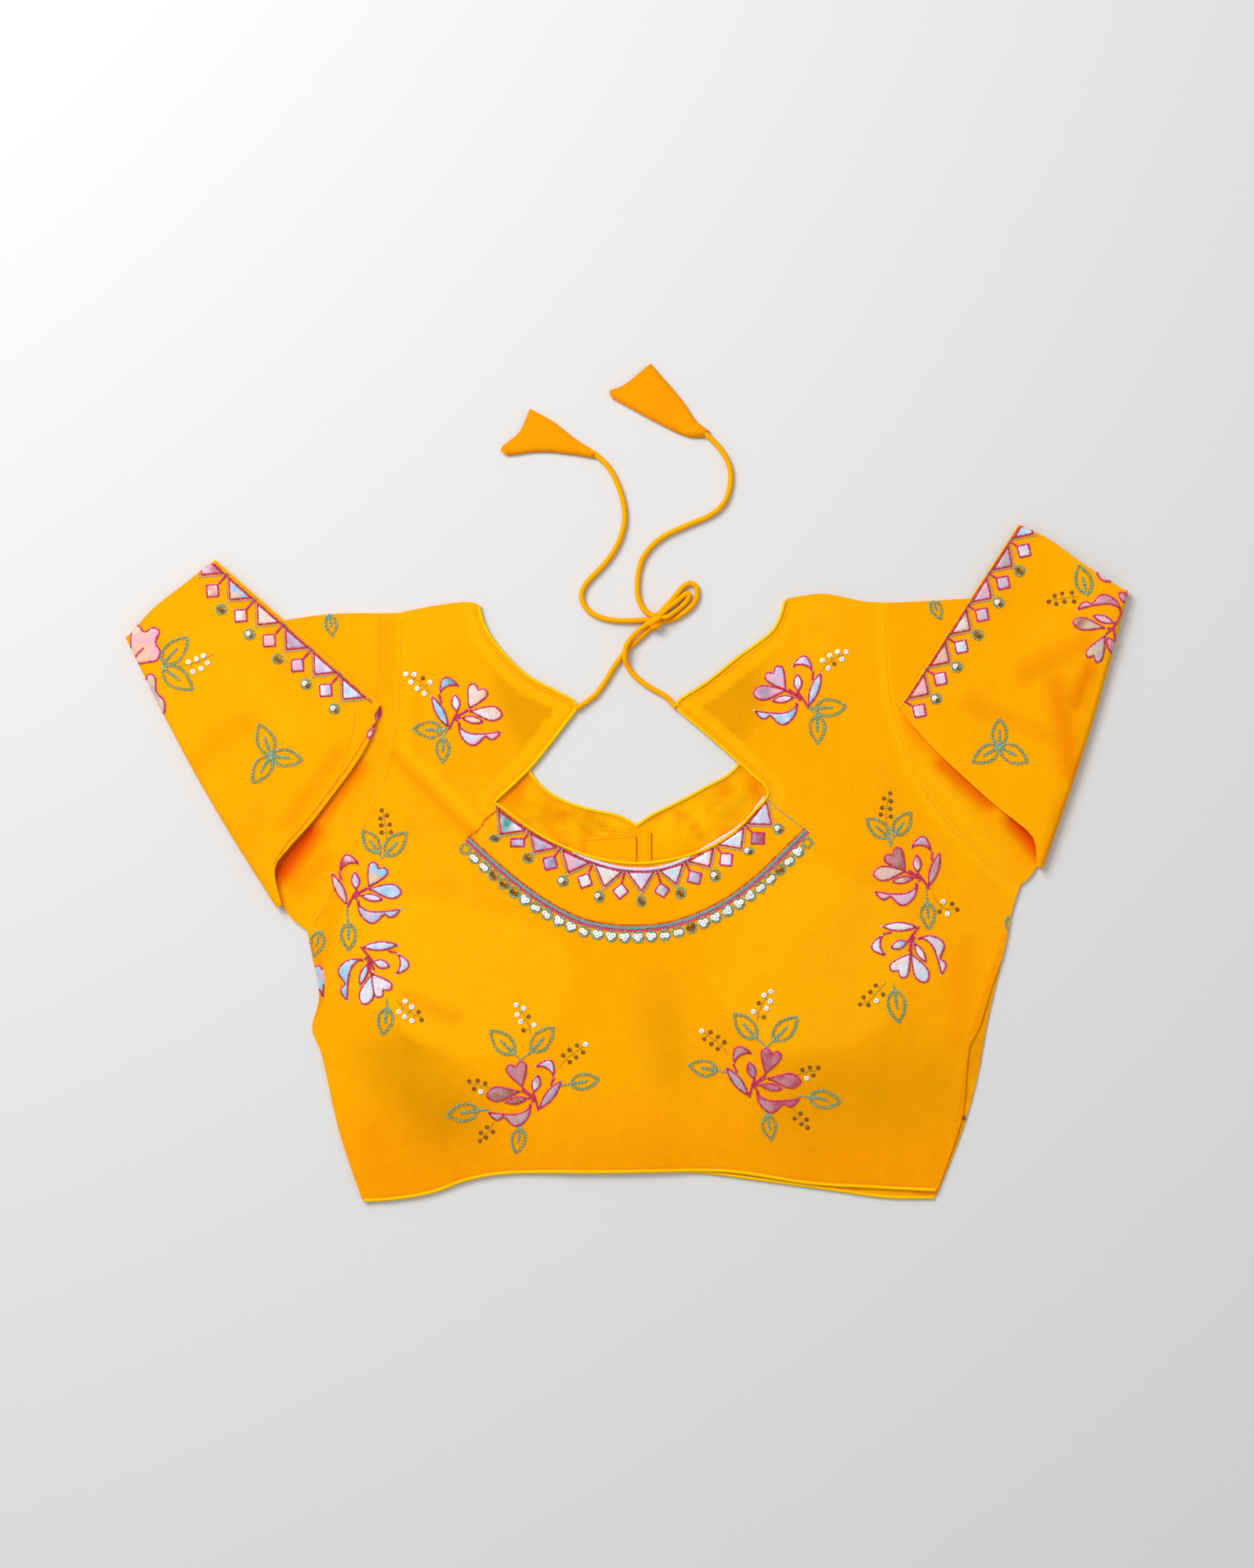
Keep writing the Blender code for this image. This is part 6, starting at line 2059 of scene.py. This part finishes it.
            for x0, y0, x1, y1 in LOW_LEAVES:
                self.leaf(*put(x0, y0), *put(x1, y1))
            for stem in LOW_STEMS:
                self.needle.line("leaf_knot", [put(*p) for p in smooth(stem, STEM_STEP)], ROPE_LIFT)
            spots = [put(*p) for p in LOW_WHITE + LOW_BROWN]
            for stem in LOW_SPRAYS:
                self.spray([put(*p) for p in stem], spots)
            whites += [put(*p) for p in LOW_WHITE]
            browns += [put(*p) for p in LOW_BROWN]
        for leaf in OTHER_LEAVES + SLEEVE_LEAVES:
            self.leaf(*leaf)
        for stem in OTHER_STEMS:
            self.needle.line("leaf_knot", smooth(stem, STEM_STEP), ROPE_LIFT)
        whites += SLEEVE_WHITE
        browns += SLEEVE_BROWN
        for stem in OTHER_SPRAYS + SLEEVE_SPRAYS:
            self.spray(stem, whites + browns)
        for kind, spots in (("white", whites), ("brown", browns)):
            for x, y in spots:
                self.needle.point(f"{kind}_sequin", x, y)
                self.needle.point(f"{kind}_bead", x, y, 0.45)

    @staticmethod
    def frame_at(line: Line, distance: float) -> tuple[Plan, Plan]:
        """Gives the point and direction at a distance along a plan line."""
        distance = max(distance, 0.0)
        for a, b in zip(line, line[1:]):
            length = math.dist(a, b)
            if distance <= length or b == line[-1]:
                way = ((b[0] - a[0]) / length, (b[1] - a[1]) / length)
                return (a[0] + way[0] * distance, a[1] + way[1] * distance), way
            distance -= length
        raise ValueError("the line has no parts")

    def corners(self, loop: Line, satins: tuple[Satin, Satin]) -> list[Plan]:
        """Sews a patch with straight sides and gives its anticlockwise corners."""
        loop = anticlockwise(list(loop))
        self.patch([p for side in sides_of(loop) for p in smooth(side, 1.5)[:-1]], *satins)
        return loop

    def border_triangle(self, first: Plan, second: Plan, far: Plan, satins: tuple[Satin, Satin]) -> None:
        """Sews a triangle with the thread outside its two hanging sides."""
        loop = self.corners([first, second, far], satins)
        outer = inset_loop(loop, [-1.0] * 3)
        end = loop.index(far)
        for other in (end - 1, (end + 1) % 3):
            self.needle.line("grey_thread", smooth([outer[other], outer[end]], 1.5), 0.3)

    def border_square(self, middle: Plan, across: float, down: float, turn: float, joint: Plan,
                      satins: tuple[Satin, Satin]) -> None:
        """Sews a square with its stem up to the joint between two triangles."""
        half = [(-across / 2, -down / 2), (across / 2, -down / 2), (across / 2, down / 2),
                (-across / 2, down / 2)]
        placed = [turned(a, b, math.radians(turn)) for a, b in half]
        loop = self.corners([(middle[0] + a, middle[1] + b) for a, b in placed], satins)
        near = min(loop, key=lambda p: math.dist(p, joint))
        if math.dist(near, joint) > 1.0:
            self.stitched(smooth([near, joint], 1.2), *SQUARE_LIFTS)

    def drop_ring(self, x: float, y: float, wide: float, tall: float, dark: bool) -> None:
        """Sews a beaded ring that holds two sequins."""
        for kind, size in (("leaf_knot", 0.95), ("gold_knot", 0.62)):
            self.needle.line(kind, round_loop(x, y, wide * size, tall * size, 16), RING_LIFT, True)
        for k, (sx, sy) in enumerate(((-0.25, 0.1), (0.3, -0.3))):
            kind = "brown_sequin" if dark or k else "silver_sequin"
            self.needle.point(kind, x + sx * wide, y + sy * tall, 0.6 + 0.2 * k)

    def neck_border(self) -> None:
        """Sews the triangles, squares and rings below the back neck."""
        satins = satin_pairs("TEAL WHITE, MAUVE LAVENDER, PINK LAVENDER, WHITE IVORY, WHITE LAVENDER, "
                             "PALE_BLUE WHITE, WHITE PINK, PALE_BLUE WHITE, LAVENDER PALE_BLUE")
        squares = satin_pairs("MAUVE LAVENDER, LAVENDER VIOLET, WHITE IVORY, WHITE IVORY, WHITE GREY, "
                              "LAVENDER MAUVE, WHITE PINK, VIOLET CRIMSON")
        joints = [Vector(p) for p in BORDER_JOINTS]
        for a, b, far, pair in zip(joints, joints[1:], BORDER_CORNERS, satins):
            way = (b - a).normalized() * 0.7
            self.border_triangle(tuple(a + way), tuple(b - way), far, pair)
        for (x, y, across, down, turn), joint, pair in zip(BORDER_SQUARES, BORDER_JOINTS[1:], squares):
            self.border_square((x, y), across, down, turn, joint, pair)
        for k, (x, y, wide, tall) in enumerate(BORDER_DROPS):
            self.drop_ring(x, y, wide, tall, k in DARK_RINGS)
        line = smooth(BORDER_JOINTS, 1.8)
        band = offset_line(line, 1.9)
        start = next(k for k, p in enumerate(band) if p[0] > -47)
        self.needle.line("satin_rope", band[start:], 0.2)
        self.needle.line("crimson_dash", offset_line(line, 0.5), 0.75)
        self.needle.line("crimson_dash", offset_line(line[:start + 2], 1.9), 0.5)
        self.needle.line("coral_dash", offset_line(line, 3.4)[start:], 0.25)

    def arc_border(self) -> None:
        """Sews the arc below the neck border, with its hanging rings."""
        arc = smooth(ARC_BAND, 2.0)
        self.needle.line("red_dash", offset_line(arc, 1.9), 0.4)
        self.needle.line("grey_rope", offset_line(arc, 0.1), 0.2)
        for shift, kind in ((0.6, "grey_left"), (-0.45, "grey_right")):
            self.needle.line(kind, offset_line(arc, shift), 0.62)
        self.needle.line("rim_rope", offset_line(arc, -1.9), 0.2)
        self.needle.line("pink_dash", offset_line(arc, -1.7), 0.5)
        length = sum(math.dist(a, b) for a, b in zip(arc, arc[1:]))
        chance = random.Random(7)
        for k in range(ARC_RINGS):
            (x, y), (dx, dy) = self.frame_at(arc, length * (k + 0.4) / ARC_RINGS)
            cx, cy = x + dy * RING_DROP, y - dx * RING_DROP
            for kind, radius in (("leaf_knot", 3.7), ("gold_knot", 2.5)):
                self.needle.line(kind, round_loop(cx, cy, radius, radius, 14), RING_LIFT, True)
            dark = chance.random() < 0.2
            number = 0 if k in (0, ARC_RINGS - 1) else 2 if chance.random() < 0.5 else 3
            turn = chance.uniform(-0.5, 0.5)
            for j in range(number):
                angle = turn + (j - (number - 1) / 2) * 1.9
                side, out = 1.7 * math.sin(angle), 1.3 * math.cos(angle) - 0.2
                self.needle.point("brown_sequin" if dark else "silver_sequin", cx + dx * side + dy * out,
                                  cy + dy * side - dx * out, 0.8 + 0.22 * j)
        self.needle.line("red_dash", smooth([(-107.5, 17.5), (-99.5, 23.5), (-95.5, 29.7), (-86, 37)], 1.5),
                         0.35)
        self.needle.line("grey_thread", smooth([(95.5, 43), (101.5, 37), (119.5, 23)], 1.5), 0.3)

    def cuff_borders(self) -> None:
        """Sews the borders of both cuffs."""
        for side, start, pitch, triangle, square, ring, satins, squares in (
            ("left", 0.0, 25.4, (22.4, 11.8, 2.9), (9.2, 17.0), 22.6,
             "PINK ROSE, PEACH SKY, PEACH IVORY, LAVENDER MAUVE, LAVENDER WHITE, WHITE SKY",
             "CORAL WHITE, WHITE PEACH, PINK PEACH, PINK LAVENDER, WHITE LAVENDER"),
            ("right", 0.5, 25.8, (21.4, 10.8, 1.6), (9.2, 12.6), 17.6,
             "SKY PALE_BLUE, LAVENDER GREY, LAVENDER PINK, WHITE BEIGE, PEACH GREY, PINK PEACH",
             "WHITE LAVENDER, LAVENDER PINK, PEACH LAVENDER, WHITE PALE_BLUE, PINK WHITE, WHITE PINK"),
        ):
            plan = SLEEVES[side]
            self.cuff_border(smooth([plan.top_after[-1], plan.under_after[-1]], 3.0), start, pitch, triangle,
                             square, ring, satin_pairs(satins), satin_pairs(squares))

    def cuff_border(self, line: Line, start: float, pitch: float, triangle: tuple, square: tuple,
                    ring: float, satins: Sequence, squares: Sequence) -> None:
        """Sews one cuff's triangles, squares and rings, from its upper corner.

        Args:
            line: The cuff edge, from its upper corner.
            start: Where the first triangle's middle is.
            pitch: Distance between triangles.
            triangle: Base, depth and distance from the edge.
            square: Side, and depth of its middle.
            ring: Depth of a ring's middle.
            satins: Colours of the triangles.
            squares: Colours of the squares.
        """
        base, depth, near = triangle
        into = -1.0 if line[0][0] < 0 else 1.0

        def put(at: float, down: float) -> Plan:
            """Gives the plan point at a distance along the edge and a depth from it."""
            (x, y), (dx, dy) = self.frame_at(line, max(at, 0.0))
            at = min(at, 0.0)
            return (x + dx * at + into * dy * -down, y + dy * at + into * dx * down)

        for k, pair in enumerate(satins):
            at = start + pitch * k
            self.border_triangle(put(at - base / 2, near), put(at + base / 2, near), put(at, near + depth),
                                 pair)
            if k:
                self.drop_ring(*put(at, ring), 3.6, 3.6, k in DARK_CUFF_RINGS)
        half = square[0] / math.sqrt(2)
        reach = math.dist(line[0], line[-1])
        for k, pair in enumerate(squares):
            at = start + pitch * (k + 0.5)
            if at + half > reach + 2:
                continue
            self.corners([put(at - half, square[1]), put(at, square[1] - half), put(at + half, square[1]),
                          put(at, square[1] + half)], pair)
            self.stitched(smooth([put(at, square[1] - half), put(at, near)], 1.2), *SQUARE_LIFTS)
        self.needle.line("crimson_dash", [put(a, near) for a in np.arange(2, reach - 4, 3.0)], 0.6)
        # A painted shadow line just inside the cuff edge
        self.needle.line("fold_line", [put(a, 1.1) for a in np.arange(1, reach, 3.0)], 0.12)

    def machine_lines(self) -> None:
        """Sews the dotted machine lines of facing, hem, armholes, front necks, placket and sleeves, and lays
        the painted shadow lines.
        """
        hem = Pattern(BACK_EDGES, 3.0).run("hem", 3.4)
        rows = [hem[2:-2]]
        rows += [offset_line(smooth(BACK_EDGES[number].points, 2.5), 4.4)[2:-2]
                 for number in (6, 7, 8, 9, 12, 13)]
        rows += [offset_line(smooth(ARMHOLES[side], 3.0), away)[2:-2]
                 for side, away in (("left", 2.2), ("right", -2.2))]
        for line in rows:
            self.needle.line("machine_dash", line, MACHINE_LIFT)
        for line in (FRONT_NECK_LEFT[:6], FRONT_NECK_RIGHT[2:]):
            self.needle.line("machine_dash", offset_line(smooth(line, 3.0), 3.8)[1:-1], MACHINE_LIFT,
                             ceiling=2.0)
        for line in PLACKET_LINES + SLEEVE_LINES:
            self.needle.line("machine_dash", smooth(line, 2.0), MACHINE_LIFT)
        # Painted shadow lines: thin dark ropes where cloth is folded under or creased
        for kind, lines in (("fold_line", FOLD_SHADOW_LINES), ("soft_line", SOFT_SHADOW_LINES)):
            for line in lines:
                self.needle.line(kind, smooth(line, 2.0), 0.05)

    def build(self) -> None:
        """Sews everything and makes the finished pieces."""
        self.flowers()
        self.neck_border()
        self.arc_border()
        self.cuff_borders()
        self.machine_lines()
        satin = self.patches.build("applique_satin", SatinFinish().make(), 70)
        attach(satin, "root")
        made = {finish.name: finish.make() for finish in THREADS}
        trees = Sewing()
        for number, (kind, thread, pitch, length, width, height, uneven, slant) in enumerate(STITCHES):
            self.needle.grow(f"{kind}_sewing", trees.stitch, {
                "Pitch": pitch * MM, "Length": length * MM, "Width": width * MM, "Height": height * MM,
                "Uneven": uneven, "Slant": slant, "Seed": number + 1, "Finish": made[thread]})
        for kind, thread, width, height in ROPES:
            self.needle.grow(f"{kind}_sewing", trees.rope,
                             {"Width": width * MM, "Height": height * MM, "Finish": made[thread]})
        for number, (kind, thread, radius, hole) in enumerate(DISCS):
            self.needle.grow(f"{kind}_set", trees.sequin, {
                "Radius": radius * MM, "Hole": hole * MM, "Thick": DISC_THICK * MM, "Tilt": DISC_TILT,
                "Seed": SEQUIN_SEED + number, "Finish": made[thread]})


# Studio

@dataclass(frozen=True)
class Studio:
    """Plain pale floor, soft light and the camera straight above."""

    middle_y: float = 53.5
    height: float = 2.503
    floor: float = 1.5
    world: float = 0.54
    key: float = 45.0

    def camera(self) -> None:
        """Adds the camera."""
        data = bpy.data.cameras.new("camera")
        data.lens = 85
        data.sensor_width = 36
        piece = new_object("camera", data)
        piece.location = (0.0, self.middle_y * MM, self.height)
        bpy.context.scene.camera = piece

    def light(self) -> None:
        """Adds the floor, the sky and the key light."""
        finish, tree, shader = new_finish("pale_floor")
        tree.fill(shader, {"Base Color": (0.72, 0.72, 0.72), "Roughness": 0.95})
        data = bpy.data.meshes.new("floor")
        r, low = self.floor, -0.0004
        data.from_pydata([(-r, -r, low), (r, -r, low), (r, r, low), (-r, r, low)], [], [(0, 1, 2, 3)])
        new_object("floor", data, finish)
        world = bpy.data.worlds.new("studio")
        world.use_nodes = True
        sky = world.node_tree.nodes["Background"]
        Tree(world.node_tree).fill(sky, {"Color": (1.0, 1.0, 1.0), "Strength": self.world})
        bpy.context.scene.world = world
        lamp = bpy.data.lights.new("key", "AREA")
        lamp.energy = self.key
        lamp.size = 1.2
        piece = new_object("key", lamp)
        piece.location = (-1.1, 1.3, 1.7)
        piece.rotation_euler = (-piece.location).to_track_quat("-Z", "Y").to_euler()
        bpy.context.scene.view_settings.view_transform = "Standard"


def main() -> None:
    """Builds the studio and every piece in order."""
    logging.basicConfig(level=logging.INFO, format="%(message)s")
    studio = Studio()
    studio.camera()
    materials = build_finishes()
    Dori(materials).build()
    Body(materials).build()
    for side in SLEEVES:
        Sleeve(side, materials).build()
    shown = [f"{name}_cloth_{side}" for name in ("front", "sleeve", "tassel") for side in SLEEVES]
    shown += ["cuff_cord_left", "cuff_cord_right", "back_cloth", "placket_underlap_cloth",
              "placket_eye_strip_cloth"]
    Embroidery(Drape([bpy.data.objects[name] for name in shown])).build()
    studio.light()


if __name__ == "__main__":
    main()
